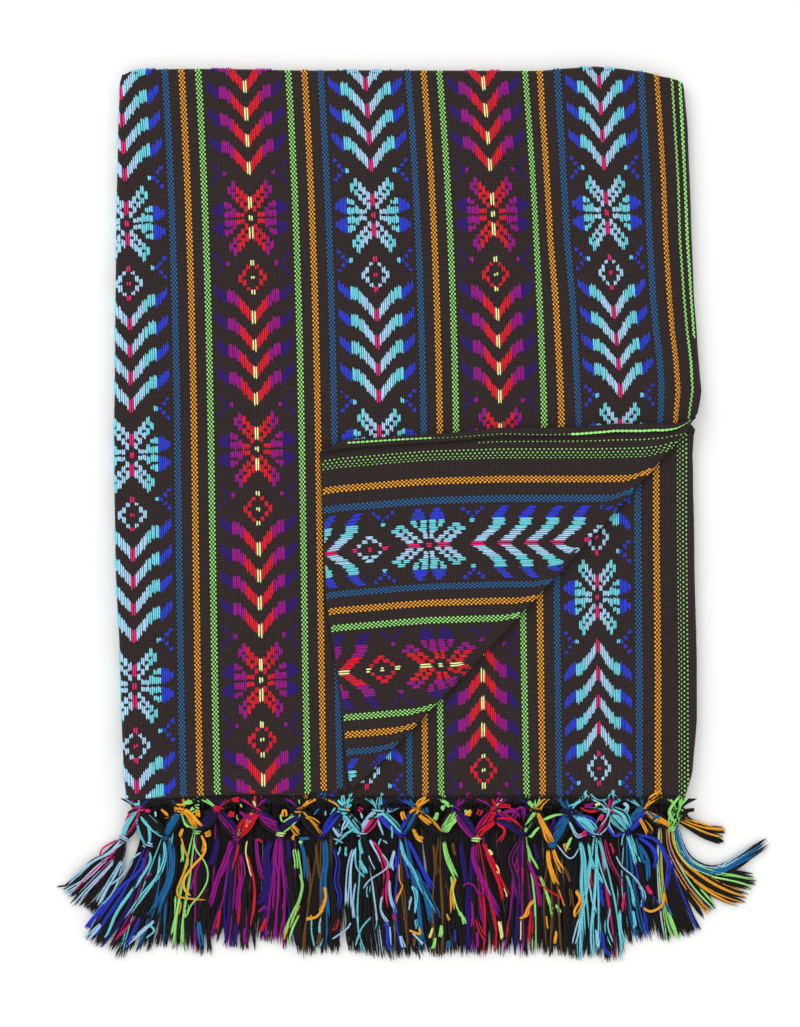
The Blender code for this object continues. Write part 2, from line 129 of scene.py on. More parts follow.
# The pattern across the cloth: blue bands at 0, 2 and 4 steps, red bands at 1 and 3, from the lengthwise fold
weave = {
    "step": 77.4,  # from one band's centre to the next
    "thread": 1.25,
    "pick": 1.45,
    "columnWidth": 2.5,  # two warp threads
    "rowHeight": 2.9,  # two picks
    "repeatRows": 51,
    "selvedge": 4 * 77.4 + 72.0,
}
step = weave["step"]
bandCentres = step * np.arange(5)
tiltNodes = np.array((-30, 0, step, 2 * step, 3 * step, 4 * step, 4 * step + 72))
tiltRise = np.array((-4.8, -4.0, 0.0, 1.8, 2.2, 3.2, 3.9))


def weftTilt(u):
    # how far a row of weft stands above its place in the first red band
    return np.interp(u, tiltNodes, tiltRise)


# Where the bands and the edge stripes lie on the top layer at four heights
topHeights = np.array((236.8, 76.8, -76.8, -224.0))
bandU = np.array((0, step, 2 * step, 3 * step, 4 * step, 4 * step + 38.7, 4 * step + 55.7, 4 * step + 63.4))
bandX = np.array((
    (-183.1, -176.2, -174.1, -171.5),
    (-103.1, -96.6, -93.4, -90.5),
    (-25.9, -17.9, -15.4, -13.4),
    (49.4, 59.3, 61.9, 62.7),
    (124.2, 133.7, 138.2, 140.2),
    (160.3, 169.9, 176.5, 178.0),
    (171.1, 179.6, 184.5, 186.0),
    (177.4, 184.4, 187.5, 189.0),
))
topStripeU = np.array((
    0, step, 2 * step, 3 * step, 3 * step + 28.35, 4 * step - 38.7, 4 * step - 28.35, 4 * step - 20, 4 * step,
    4 * step + 20, 4 * step + 28.35, 4 * step + 38.7, 4 * step + 55.7, 4 * step + 63.4,
))
topStripeX = np.array([np.interp(topStripeU, bandU, column) for column in bandX.T]).T
topStripeCurves = [np.polyfit(topHeights / 100, row, 3) for row in topStripeX]
# the last band and the edge wander: how far each stripe lies to the right of its curve, by height
wanderY = np.array((0, 12, 32, 50, 70, 89, 128, 166, 204, 236))
wanderX = np.zeros((len(topStripeU), len(wanderY)))
wanderX[4:] = (
    (0.4, 0.5, 0.5, 0.3, 0.1, 0, -0.2, -0.2, -0.2, 0),
    (1.6, 1.6, 1.5, 1.2, 0.8, 0.3, -1.4, -1.5, -1.5, -0.9),
    (2.9, 2.9, 2.5, 2.0, 1.8, 1.5, -0.5, -0.3, -0.2, 0.5),
    (2.4, 2.4, 2.2, 2.0, 1.7, 1.3, 0.0, -0.3, 1.0, 1.4),
    (1.0, 1.5, 2.5, 1.8, 0.9, -0.2, -1.2, -1.4, -1.0, -0.5),
    (0.5, 0.9, 1.6, 0.9, -0.5, -1.1, -1.4, -1.4, -1.2, -0.9),
    (-0.3, -0.1, 1.7, 1.6, 0.1, -0.8, -1.1, -0.4, -0.2, 0.3),
    (0.0, 0.4, 3.0, 2.5, 1.2, 0.6, 0.2, 1.2, 1.2, 0.6),
    (-0.5, 0.0, 3.5, 3.2, 1.5, 0.6, -0.4, 0.5, 0.3, 0.3),
    (-0.2, 0.4, 3.9, 3.6, 2.2, 1.6, 0.3, 0.0, 0.2, 0.5),
)


def topNodes(y):
    return [np.polyval(curve, y / 100) + np.interp(y, wanderY, shift)
            for curve, shift in zip(topStripeCurves, wanderX)]


def topPlace(u, v):
    # cloth coordinates to the layout: down the page by v, across by the stripe curves
    y = 142.2 + weftTilt(u) - v
    y = y + 2.3 * ease((u - 4 * step + 45) / 25) * ease((66 - y) / 28)
    nodes = topNodes(y)
    index = np.clip(np.searchsorted(topStripeU, u) - 1, 0, len(topStripeU) - 2)
    nodes = np.array(nodes)
    low = np.take_along_axis(nodes, index[None], 0)[0]
    high = np.take_along_axis(nodes, index[None] + 1, 0)[0]
    part = (u - topStripeU[index]) / (topStripeU[index + 1] - topStripeU[index])
    return low + part * (high - low), y


def topCloth(x, y):
    # the layout back to cloth coordinates, for the weave
    u = followNodes(x, topNodes(y), topStripeU)
    return u, 142.2 + weftTilt(u) - y


wrapAngle = np.linspace(0, np.pi, 400)
wrapArc = np.concatenate([[0], np.cumsum(np.hypot(
    np.diff(stack["leftOut"] * np.sin(wrapAngle)), np.diff(stack["leftHigh"] * np.cos(wrapAngle)))
)])


def hangShare(y):
    return ease((y - stack["hangFrom"]) / stack["hangRise"])


def hangRun(share, length, bend):
    # level run of an edge that turns down through share * 90 degrees
    turn = np.maximum(share, 1e-3) * np.pi / 2
    return bend / turn * np.sin(turn) + (length - bend) * np.cos(turn)


def bendOver(s, start, share, bend):
    # level run, drop and heading of cloth past the start of a bend
    radius = bend / (np.maximum(share, 1e-3) * np.pi / 2)
    past = np.clip(s - start, 0, None)
    turned = np.minimum(past, bend)
    angle = turned / radius
    level = np.minimum(s, start) + radius * np.sin(angle) + (past - turned) * np.cos(angle)
    drop = radius * (1 - np.cos(angle)) + (past - turned) * np.sin(angle)
    return level, drop, angle


def topEdges(y):
    # flat part of the top layer at a height: its left end, where the right bend starts, and its selvedge
    left = readRows(sideRows, y, 1) + half + stack["leftOut"]
    right = np.minimum(readRows(sideRows, y, 2) + 1.2, foldAcross(y) - stack["foldClear"])
    share = hangShare(y)
    start = right - hangRun(share, stack["topHang"], stack["topBend"]) - half * share
    return left, start, start + stack["topHang"]


def topRoll(x):
    return readRows(endRows, x, 1) - stack["foldRadius"] - half


def topSurface(s, y):
    # flat, an ellipse round the left, a quarter turn down at the right and a half turn back at the top
    left, start, _ = topEdges(y)
    level, drop, angle = bendOver(s, start, hangShare(y), stack["topBend"])
    over = np.clip(left - s, 0, None)
    round_ = np.interp(over, wrapArc, wrapAngle)
    wrapped = over > 0
    x = np.where(wrapped, left - stack["leftOut"] * np.sin(round_), level)
    z = np.where(wrapped, stack["leftMid"] + stack["leftHigh"] * np.cos(round_), stack["topMid"] - drop)
    nx = np.where(wrapped, -np.sin(round_) * stack["leftHigh"], np.sin(angle))
    nz = np.where(wrapped, np.cos(round_) * stack["leftOut"], np.cos(angle))
    normal = unit(np.stack([nx, np.zeros_like(nx), nz], axis=-1))
    roll = topRoll(x)
    back = np.clip(y - roll, 0, None) / stack["foldRadius"]
    depth = stack["foldRadius"] * (1 - np.cos(back))
    flatY = np.minimum(y, roll) + stack["foldRadius"] * np.sin(back)
    lift = ripple(x, flatY) * np.clip(normal[..., 2], 0, 1) * np.cos(np.minimum(back, np.pi / 2))
    point = np.stack([x, flatY, z + lift], axis=-1) - normal * depth[..., None]
    normal = normal * np.cos(back)[..., None] + np.stack(
        [np.zeros_like(x), np.sin(back), np.zeros_like(x)], axis=-1
    )
    return point, unit(normal)


def secondEdges(y):
    left = readRows(sideRows, y, 1) + half + stack["leftOut"] + 2 * stack["gap"]
    share = ease((2.0 - y) / 20)
    inset = 7.4 * np.clip((y - 13) / 6, 0, 1) + half * share - 0.9 * ease((y + 80) / 40)
    inset = inset + 4.5 * np.clip((y - 13) / 6, 0, 1) * np.clip((64 - y) / 12, 0, 1)
    right = readRows(sideRows, y, 2) - inset
    start = right - hangRun(share, stack["secondHang"], stack["secondBend"])
    return left, start, start + stack["secondHang"], share


firstKnots = np.array((
    -170.2, -144, -119.9, -95.4, -67.2, -39.7, -17, 7, 32.6, 57.6, 83.8, 106, 130.5, 152.3, 175.0
))
firstKnotY = -236.05
firstKnotZ = 8.3
gatherReach = 9.0


def secondSurface(s, y):
    # flat, a short bend at the selvedge, and warps drawn towards each knot near the woven end
    _, start, _, share = secondEdges(y)
    x, drop, angle = bendOver(s, start, share, stack["secondBend"])
    nearest = firstKnots[np.argmin(np.abs(x[..., None] - firstKnots), axis=-1)]
    draw = np.clip(1 - (y - stack["wovenEnd"]) / gatherReach, 0, 1) ** 2
    close = np.exp(-(((x - nearest) / 5.0) ** 2))
    x = x + (nearest - x) * 0.45 * draw
    z = stack["secondMid"] - drop + ripple(x, y) + draw * (0.5 * close - 0.5)
    normal = np.stack([np.sin(angle), np.zeros_like(x), np.cos(angle)], axis=-1)
    return np.stack([x, y, z], axis=-1), normal


secondHeights = np.array((-230.0, -150.0, -60.0))
secondStripeU = np.array((
    0, step, 2 * step, 3 * step, 3 * step + 28.35, 4 * step - 28.35, 4 * step - 15, 4 * step, 4 * step + 20,
    4 * step + 28.35, 4 * step + 38.7, 4 * step + 55.7, 4 * step + 62,
))
secondStripeX = np.array((
    (-179.8, -180.6, -181.5), (-102.4, -103.3, -104.4), (-24.3, -25.4, -26.6), (50.6, 49.7, 48.6), (77.9, 76.2, 74.6),
    (98.9, 97.9, 96.9), (111.7, 110.8, 109.8), (124.6, 123.7, 122.7), (141.9, 141.1, 140.3), (149.9, 149.9, 149.0),
    (162.3, 162.4, 161.2), (178.0, 177.9, 176.9), (186.0, 186.2, 185.2),
))


def secondNodes(y):
    return [np.interp(y, secondHeights, row) for row in secondStripeX]


def secondPlace(u, v):
    # as on the top layer, but up the page, because the cloth is folded back crosswise
    y = -104.6 + 1.3 * weftTilt(u) + v
    nodes = np.array(secondNodes(y))
    index = np.clip(np.searchsorted(secondStripeU, u) - 1, 0, len(secondStripeU) - 2)
    low = np.take_along_axis(nodes, index[None], 0)[0]
    high = np.take_along_axis(nodes, index[None] + 1, 0)[0]
    part = (u - secondStripeU[index]) / (secondStripeU[index + 1] - secondStripeU[index])
    return low + part * (high - low), y


def secondCloth(x, y):
    u = followNodes(x, secondNodes(y), secondStripeU)
    return u, y + 104.6 - 1.3 * weftTilt(u)


# The turned corner: its stripes run across the page, so their heights are given, and how much they sag at the left
turn = {
    "endV": 68.5,  # its woven end, below a row of flowers
    "leaveU": 4 * step + 69.0,  # where the selvedge leaves the flat to roll over
    "curlRadius": 1.5,
    "curlCloth": 8.2,
    "foldRadius": 1.9,  # the fold is a soft roll that stands up a little
    "sweepReach": 7.0,  # how close to the fold the rows start to slide up along it
}
turnStripeU = np.array((
    2 * step, 2 * step + 28.35, 2 * step + 38.7, 3 * step - 28.35, 3 * step, 3 * step + 28.35,
    4 * step - 38.7, 4 * step - 28.35, 4 * step, 4 * step + 28.35, 4 * step + 38.7, 4 * step + 55.7,
    4 * step + 62.0, 4 * step + 69.0, 4 * step + 90,
))
turnStripeY = np.array((
    -222.0, -193.9, -182.7, -171.5, -142.7, -113.9, -102.7, -92.2, -65.6, -37.6, -24.7, -9.0, -1.0, 5.4, 24.6
))
turnSagX = np.array((-60, -54.4, -41.6, -22.4, -3.2, 16, 60.8, 125, 152, 163, 172, 180, 186))
turnSag = np.array((-9.0, -8.0, -6.1, -4.5, -2.8, -1.4, 0.0, 0.1, 0.7, 1.7, 3.5, 5.6, 8.4))
# the rolled selvedge stands higher towards the fold
turnRiseX = np.array((-60, -48, -40, 22, 33, 61, 94, 111, 134, 160, 174))
turnRise = np.array((-3.4, -3.4, -1.8, -2.4, -1.8, 0.2, 0.3, 0.8, 2.5, 1.9, -0.4))
turnSweepY = np.array((-225, -150, -100, -60, -40, -20, -5, 5))
turnSweep = np.array((3.0, 3.5, 2.2, 3.0, 5.5, 5.5, 2.0, 0.0))  # how far they slide, by height
turnLeftY = np.array((-230, -223, -208, -186, -166, -102, -13, 8))
turnLeftX = np.array((-36.5, -36.5, -37.8, -39.7, -41.0, -51.2, -54.1, -54.6))


def turnPlace(u, v):
    # stripe height plus sag across, woven end plus v along; each reads the other, so it is worked out three times
    level = np.interp(u, turnStripeU, turnStripeY)
    y = level
    for _ in range(4):
        x = np.interp(y, turnLeftY, turnLeftX) + (turn["endV"] - v) * 0.985
        y = level + np.interp(x, turnSagX, turnSag)
    return x, y


def turnSurface(u, v):
    # flat, rolled over on itself at the selvedge, and over the diagonal fold in a half turn
    flatU = np.minimum(u, turn["leaveU"])
    x, y = turnPlace(flatU, v)
    corner = 1 - ease((x + 56) / 18)
    # the roll is slack in the open and pressed flat where it meets the fold
    slack = 1 - 0.8 * ease((x - 164) / 20)
    past = np.clip(u - turn["leaveU"], 0, None) * (1 - 0.7 * corner) * slack
    y = y + (np.interp(x, turnRiseX, turnRise) - 3.6 * corner) * ease((u - 4 * step - 58) / 11)
    radius = turn["curlRadius"] * slack
    angle = np.minimum(past / radius, np.pi)
    straight = past - angle * radius
    y = y + radius * np.sin(angle) + straight * np.cos(angle)
    rise = radius * (1 - np.cos(angle)) + straight * np.sin(angle)
    # close to the fold the rows slide up along it, and the roll lifts them
    ahead = (x - foldAcross(y)) * foldOut[0] + turn["foldRadius"] - stack["foldRadius"]
    nearby = np.clip(1 + ahead / turn["sweepReach"], 0, 1)
    slide = np.interp(y, turnSweepY, turnSweep) * nearby ** 2
    x = x - foldAlong[0] * slide
    y = y - foldAlong[1] * slide
    x = x - 2.2 * nearby * ease((y - 5) / 8)
    beyond = np.clip(ahead, 0, None)
    round_ = beyond / turn["foldRadius"]
    reach = turn["foldRadius"] + rise
    x = x - foldOut[0] * beyond + foldOut[0] * reach * np.sin(round_)
    y = y - foldOut[1] * beyond + foldOut[1] * reach * np.sin(round_)
    lift = 2 * (turn["foldRadius"] - stack["foldRadius"]) * nearby ** 1.5
    z = stack["turnMid"] + lift - turn["foldRadius"] + reach * np.cos(round_) + ripple(x, y)
    normal = np.stack([np.zeros_like(x), -np.sin(angle), np.cos(angle)], axis=-1)
    out = np.stack([np.full_like(x, foldOut[0]), np.full_like(x, foldOut[1]), np.zeros_like(x)], axis=-1)
    normal = normal * np.cos(round_)[..., None] + out * np.sin(round_)[..., None]
    return np.stack([x, y, z], axis=-1), unit(normal)


# Colours as sRGB, named as a weaver would pick the cones
cone = {
    "ground": "3e3231",
    # darkest ground colour: random lint flecks, and painted shade in the hollows between thread crossings
    "groundLintAndHollowShade": "120d0e",
    "lightBlue": "aedaf6",
    "turquoise": "74dae6",
    "royal": "2a3fd4",
    "pink": "f01c74",
    "red": "e41430",
    "magenta": "a0088c",
    "indigo": "2c0f78",
    "paleYellow": "eef5a0",
    "blue": "166ba6",
    "orange": "ffae2a",
    "green": "a0f080",
    "brown": "6e4a1e",
    "black": "191517",
    "floor": "fbfbfa",
}


def linear(name):
    code = cone[name]
    values = np.array([int(code[i:i + 2], 16) / 255 for i in (0, 2, 4)])
    return np.where(values <= 0.04045, values / 12.92, ((values + 0.055) / 1.055) ** 2.4)


def addNode(tree, kind, settings=None, links=None, inputs=None):
    node = tree.nodes.new(kind)
    for name, value in (settings or {}).items():
        setattr(node, name, value)
    for name, value in (inputs or {}).items():
        node.inputs[name].default_value = value
    for name, source in (links or {}).items():
        tree.links.new(source, node.inputs[name])
    return node


def startMaterial(name, slots):
    finish = bpy.data.materials.new(name)
    finish.use_nodes = True
    tree = finish.node_tree
    surface = tree.nodes["Principled BSDF"]
    for socket, value in slots.items():
        surface.inputs[socket].default_value = value
    return finish, tree, surface


def plainWeaveCotton(name):
    # spun cotton in a close plain weave: matt, a little fuzzy, every crossing a small bump; its colour is random lint
    # tone plus painted shade in the hollows between crossings
    finish, tree, surface = startMaterial(name, {
        "Roughness": 0.86, "IOR": 1.5, "Specular IOR Level": 0.14,
        "Sheen Weight": 0.02, "Sheen Roughness": 0.6,
    })
    cloth = addNode(tree, "ShaderNodeUVMap", {"uv_map": "cloth"})
    parts = addNode(tree, "ShaderNodeSeparateXYZ", links={0: cloth.outputs[0]})
    # the map is in decimetres, and one crossing is a thread wide and a pick high
    waves = []
    for socket, pitch in ((parts.outputs[0], weave["thread"]), (parts.outputs[1], weave["pick"])):
        turned = addNode(tree, "ShaderNodeMath", {"operation": "MULTIPLY"}, {0: socket}, {1: np.pi * 100 / pitch})
        waves.append(addNode(tree, "ShaderNodeMath", {"operation": "SINE"}, {0: turned.outputs[0]}).outputs[0])
    crossing = addNode(tree, "ShaderNodeMath", {"operation": "MULTIPLY"}, {0: waves[0], 1: waves[1]})
    bump = addNode(tree, "ShaderNodeMath", {"operation": "ABSOLUTE"}, {0: crossing.outputs[0]})
    place = addNode(tree, "ShaderNodeTexCoord")
    lint = addNode(tree, "ShaderNodeTexNoise", links={"Vector": place.outputs["Object"]},
                   inputs={"Scale": 700.0, "Detail": 4.0, "Roughness": 0.75})
    lift = addNode(tree, "ShaderNodeMath", {"operation": "MULTIPLY_ADD"},
                   {0: lint.outputs["Fac"], 2: bump.outputs[0]}, {1: 1.3})
    spread = addNode(tree, "ShaderNodeMapRange", links={"Value": lift.outputs[0]},
                     inputs={"From Min": 0.45, "From Max": 1.6})
    # painted shade: the ramp darkens the hollows between thread crossings towards the darkest ground colour, and the
    # lint noise adds random darker flecks
    tone = addNode(tree, "ShaderNodeValToRGB", links={"Fac": spread.outputs[0]})
    tone.color_ramp.elements[0].position = 0.0
    tone.color_ramp.elements[0].color = (*linear("groundLintAndHollowShade"), 1)
    tone.color_ramp.elements[1].position = 1.0
    tone.color_ramp.elements[1].color = (*linear("ground"), 1)
    tree.links.new(tone.outputs["Color"], surface.inputs["Base Color"])
    shape = addNode(tree, "ShaderNodeBump", links={"Height": lift.outputs[0]},
                    inputs={"Strength": 0.7, "Distance": 0.0003})
    tree.links.new(shape.outputs["Normal"], surface.inputs["Normal"])
    return finish


def dyedYarn(name, roughness, sheen, grain, lowest, highest):
    # dyed cotton yarn: its colour is an attribute of the piece, its fibres a fine noise
    finish, tree, surface = startMaterial(name, {
        "Roughness": roughness, "IOR": 1.5, "Specular IOR Level": 0.16,
        "Sheen Weight": sheen, "Sheen Roughness": 0.5,
    })
    dye = addNode(tree, "ShaderNodeAttribute", {"attribute_name": "dye"})
    place = addNode(tree, "ShaderNodeTexCoord")
    fibre = addNode(tree, "ShaderNodeTexNoise", links={"Vector": place.outputs["Object"]},
                    inputs={"Scale": grain, "Detail": 2.0})
    depth = addNode(tree, "ShaderNodeMapRange", links={"Value": fibre.outputs["Fac"]},
                    inputs={"From Min": 0.3, "From Max": 0.7, "To Min": lowest, "To Max": highest})
    mixed = addNode(tree, "ShaderNodeVectorMath", {"operation": "SCALE"},
                    {0: dye.outputs["Color"], "Scale": depth.outputs[0]})
    tree.links.new(mixed.outputs[0], surface.inputs["Base Color"])
    shape = addNode(tree, "ShaderNodeBump", links={"Height": fibre.outputs["Fac"]},
                    inputs={"Strength": 0.5, "Distance": 0.0002})
    tree.links.new(shape.outputs["Normal"], surface.inputs["Normal"])
    return finish


groundCotton = plainWeaveCotton("plainWeaveCotton")
floatYarn = dyedYarn("mercerisedFloatYarn", 0.55, 0.03, 900.0, 0.85, 1.2)
stripeYarn = dyedYarn("cottonStripeYarn", 0.65, 0.02, 1200.0, 0.85, 1.15)
fringeYarn = dyedYarn("twistedFringeYarn", 0.7, 0.04, 1500.0, 0.6, 1.1)
print("materials are ready")


def addMesh(name, points, quads, finish, body="root"):
    mesh = bpy.data.meshes.new(name)
    mesh.from_pydata((np.asarray(points) * mm).tolist(), [], np.asarray(quads).tolist())
    mesh.materials.append(finish)
    made = bpy.data.objects.new(name, mesh)
    bpy.context.collection.objects.link(made)
    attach(made, body)
    return made


def addDye(mesh, colours):
    layer = mesh.color_attributes.new(name="dye", type="FLOAT_COLOR", domain="POINT")
    rgba = np.concatenate([colours, np.ones((len(colours), 1))], axis=1)
    layer.data.foreach_set("color", rgba.astype(np.float32).ravel())


def addClothMap(mesh, uv):
    layer = mesh.uv_layers.new(name="cloth")
    index = np.empty(len(mesh.loops), dtype=np.int32)
    mesh.loops.foreach_get("vertex_index", index)
    layer.data.foreach_set("uv", (uv[index] / 100).astype(np.float32).ravel())


def gridQuads(rows, columns, start=0):
    index = np.arange(rows * columns).reshape(rows, columns) + start
    return np.stack([index[:-1, :-1], index[1:, :-1], index[1:, 1:], index[:-1, 1:]], axis=-1).reshape(-1, 4)


def edgeSteps(length, pitch, rim):
    # stations along one side of a sheet: close together over the last of the rounded rim at both ends
    inside = np.linspace(rim[-1], length - rim[-1], max(int((length - 2 * rim[-1]) / pitch), 2))
    return np.concatenate([rim[:-1], inside, length - rim[-2::-1]]) / length


rimSteps = np.array((0.0, 0.08, 0.25, 0.5, 0.75))


def addSheet(name, middle, normal, uv, thick):
    # a wall of cloth round its middle surface, with round free edges: half a circle in the last of each side
    rows, columns = middle.shape[:2]
    profile = thick * np.sqrt(np.clip(1 - (1 - rimSteps / rimSteps[-1]) ** 2, 0, 1))
    alongEdge = np.full(rows, thick)
    acrossEdge = np.full(columns, thick)
    alongEdge[:5], alongEdge[-5:] = profile, profile[::-1]
    acrossEdge[:5], acrossEdge[-5:] = profile, profile[::-1]
    deep = np.minimum(alongEdge[:, None], acrossEdge[None, :])[..., None]
    outer = (middle + normal * deep).reshape(-1, 3)
    inner = (middle - normal * deep).reshape(-1, 3)
    quads = np.concatenate([gridQuads(rows, columns), gridQuads(rows, columns, rows * columns)[:, ::-1]])
    made = addMesh(name, np.concatenate([outer, inner]), quads, groundCotton)
    addClothMap(made.data, np.concatenate([uv.reshape(-1, 2)] * 2))
    body = bmesh.new()
    body.from_mesh(made.data)
    bmesh.ops.remove_doubles(body, verts=body.verts[:], dist=1e-6)
    bmesh.ops.recalc_face_normals(body, faces=body.faces[:])
    body.to_mesh(made.data)
    body.free()
    made.data.shade_smooth()
    return made


# Sheets
sheetPitch = 2.6

rowPart = edgeSteps(470, sheetPitch, rimSteps)
columnPart = edgeSteps(388, sheetPitch, rimSteps)
fullTop = topRoll(0.0) + np.pi * stack["foldRadius"]
y0 = fullTop + (-226 - fullTop) * rowPart[:, None] + 0 * columnPart[None, :]
left, start, selvedge = topEdges(y0)
s0 = left - wrapArc[-1] + (selvedge - left + wrapArc[-1]) * columnPart[None, :]
xGuess = topSurface(s0, y0)[0][..., 0]
# the free end and the roll follow the outline
topY = topRoll(xGuess) + np.pi * stack["foldRadius"]
bottomY = readRows(endRows, xGuess, 2)
y0 = topY + (bottomY - topY) * rowPart[:, None]
left, start, selvedge = topEdges(y0)
s0 = left - wrapArc[-1] + (selvedge - left + wrapArc[-1]) * columnPart[None, :]
middle, normal = topSurface(s0, y0)
u, v = topCloth(s0, y0)
topLayer = addSheet("topLayerCloth", middle, normal, np.stack([u, v], axis=-1), 0.7)
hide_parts("top_layer")

rowPart = edgeSteps(466, 4.0, rimSteps)
columnPart = edgeSteps(370, sheetPitch, rimSteps)
y0 = 234.5 + (stack["wovenEnd"] - 234.5) * rowPart[:, None] + 0 * columnPart[None, :]
left, start, selvedge, _ = secondEdges(y0)
s0 = left + (selvedge - left) * columnPart[None, :]
y0 = readRows(endRows, s0, 1) - 2.6 + (stack["wovenEnd"] - readRows(endRows, s0, 1) + 2.6) * rowPart[:, None]
middle, normal = secondSurface(s0, y0)
u, v = secondCloth(s0, y0)
secondLayer = addSheet("secondLayerCloth", middle, normal, np.stack([u, v], axis=-1), 0.7)
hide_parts("second_layer")

# the turned corner: rows at a constant u, each from the woven end to past the diagonal fold
uTop = turn["leaveU"] + turn["curlCloth"]
uLow = np.interp(-224.0, turnStripeY, turnStripeU) - 2.0
uRows = np.concatenate([np.linspace(uTop, turn["leaveU"] - 1, 14)[:-1],
                        np.linspace(turn["leaveU"] - 1, uLow, 90)])
tryV = np.linspace(turn["endV"] - 0.01, -190, 600)
gridX, gridY = turnPlace(np.minimum(uRows, turn["leaveU"])[:, None] + 0 * tryV[None, :], tryV[None, :] + 0 * uRows[:, None])
beyond = gridX - foldAcross(gridY)
rolled = (np.pi - 1) * turn["foldRadius"] + stack["foldRadius"]
reached = np.array([np.interp(rolled / foldOut[0], b, tryV) for b in beyond])
columnPart = edgeSteps(230, sheetPitch, rimSteps)
v0 = turn["endV"] + (reached[:, None] - turn["endV"]) * columnPart[None, :]
u0 = uRows[:, None] + 0 * v0
middle, normal = turnSurface(u0, v0)
turnedCorner = addSheet("turnedCornerCloth", middle, normal, np.stack([u0, v0], axis=-1), 0.7)
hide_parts("turned_corner")
print("sheets are laid:", len(topLayer.data.polygons), len(secondLayer.data.polygons), len(turnedCorner.data.polygons))


# Pattern yarns that float over the ground. Columns count from a band's middle, rows from the motif's centre or,
# in a chevron, from the top of its tick; the last word says which cone of the band the yarn comes from.
flowerQuarter = [
    (1, 1.3, 2.8, "light"), (1, 3.3, 5.3, "light"), (2, 0.15, 1.3, "light"), (2, 2.3, 3.9, "light"),
    (2, 4.3, 6.3, "light"), (3, 0.15, 1.3, "light"), (3, 3.3, 4.9, "light"), (3, 5.3, 7.4, "light"),
    (4, 0.15, 2.3, "mid"), (4, 4.2, 5.9, "mid"), (4, 6.2, 8.4, "mid"), (5, 0.15, 1.85, "mid"),
    (5, 2.3, 3.4, "mid"), (5, 5.2, 7.2, "mid"), (6, 0.15, 1.85, "mid"), (6, 2.3, 3.9, "mid"),
    (7, 0.3, 4.0, "outer"), (8, 0.5, 3.7, "outer"), (9, 1.2, 2.9, "outer"),
    (9, 7.5, 8.4, "outer"), (8, 8.6, 9.5, "outer"), (7, 9.5, 10.4, "outer"), (8, 10.6, 11.5, "outer"),
    (9, 11.7, 12.5, "outer"), (6, 9.4, 10.5, "mid"), (0, 1.8, 4.9, "accent"), (0, 0.0, 0.65, "accent"),
]
chevronHalf = [
    (0, 0.0, 3.26, "accent"), (1, -0.7, 2.3, "light"), (2, -1.85, 1.2, "light"), (3, -2.9, 0.3, "light"),
    (4, -3.75, -0.7, "mid"), (5, -4.7, -1.6, "mid"), (6, -4.9, -1.8, "mid"), (7, -4.5, -1.8, "outer"),
    (8, -5.2, -2.6, "outer"), (9, -5.8, -3.6, "outer"),
]
diamondHalf = [
    (1, 1.85, 2.8, "light"), (1, -2.8, -1.85, "light"), (2, 0.35, 1.85, "light"), (2, -1.85, -0.35, "light"),
    (3, -0.9, 0.9, "light"), (0, -4.1, -2.7, "accent"), (0, 2.6, 3.75, "accent"), (0, -0.4, 0.4, "accent"),
]
toneNames = ("light", "mid", "outer", "accent")
bandCones = (("lightBlue", "turquoise", "royal", "pink"), ("red", "magenta", "indigo", "paleYellow"))
chevronLean = (0.0, 0.3, 0.4, 0.4, 0.0, 0.0, 0.0, 0.3, 0.3, 0.3)  # by column, how far its two threads are apart


def chartThreads():
    # every column is two threads; in a chevron they step with its slope
    threads = []
    def put(column, low, high, tone, shift, lean):
        for side in (-1, 1):
            if column == 0:
                threads.append((side * 0.75, shift + low, shift + high, tone))
                continue
            for inner in (-1, 1):
                across = side * (weave["columnWidth"] * column + 0.2 + inner * 0.6)
                threads.append((across, shift + low - inner * lean, shift + high - inner * lean, tone))
    for column, low, high, tone in flowerQuarter:
        for down in (-1, 1):
            ends = sorted((down * low, down * high))
            if not (column == 0 and low == 0.0):
                put(column, ends[0], ends[1], tone, 0, 0.0)
        if column == 0 and low == 0.0:
            put(column, -high, high, tone, 0, 0.0)
    for column, low, high, tone in diamondHalf:
        put(column, low, high, tone, 13.2, 0.0)
    for number in range(4):
        for column, low, high, tone in chevronHalf:
            put(column, low, high, tone, 20.4 + 6 * number, chevronLean[column])
    return threads


threads = chartThreads()
chartU = np.array([t[0] for t in threads])
chartV = np.array([(t[1], t[2]) for t in threads]) * weave["rowHeight"]
chartTone = np.array([toneNames.index(t[3]) for t in threads])
repeatLength = weave["repeatRows"] * weave["rowHeight"]


def bandYarns(firstRepeat, lastRepeat):
    # all bands by all repeats at once: the middle of each yarn, its two ends and its colour
    repeats = np.arange(firstRepeat, lastRepeat + 1) * repeatLength
    u = (bandCentres[:, None, None] + 0 * repeats[None, :, None] + chartU[None, None, :])
    low = 0 * bandCentres[:, None, None] + repeats[None, :, None] + chartV[None, None, :, 0]
    high = 0 * bandCentres[:, None, None] + repeats[None, :, None] + chartV[None, None, :, 1]
    cones = np.array([[linear(name) for name in bandCones[band % 2]] for band in range(len(bandCentres))])
    dye = cones[:, None, chartTone, :] + np.zeros((1, len(repeats), 1, 1))
    # hand weaving: every float starts and ends a little early or late
    wander = rng.normal(0, 1, (3, u.size))
    return (u.ravel() + 0.07 * wander[0], low.ravel() + 0.35 * wander[1], high.ravel() + 0.35 * wander[2],
            dye.reshape(-1, 3))


# Warp stripes: threads of colour that come up over every other pick. Centre, threads, their pitch, half the width
# and half the length of what shows of a thread, cone
stripeRows = []
for centre in (0, 2 * step, 4 * step):
    stripeRows += [(centre + side * away, 4, 1.0, 0.56, 0.86, name)
                   for side in (-1, 1) for away, name in ((28.35, "blue"), (38.7, "orange"))]
for centre in (step, 3 * step):
    stripeRows += [(centre + side * 28.35, 4, 1.0, 0.56, 0.86, "green") for side in (-1, 1)]
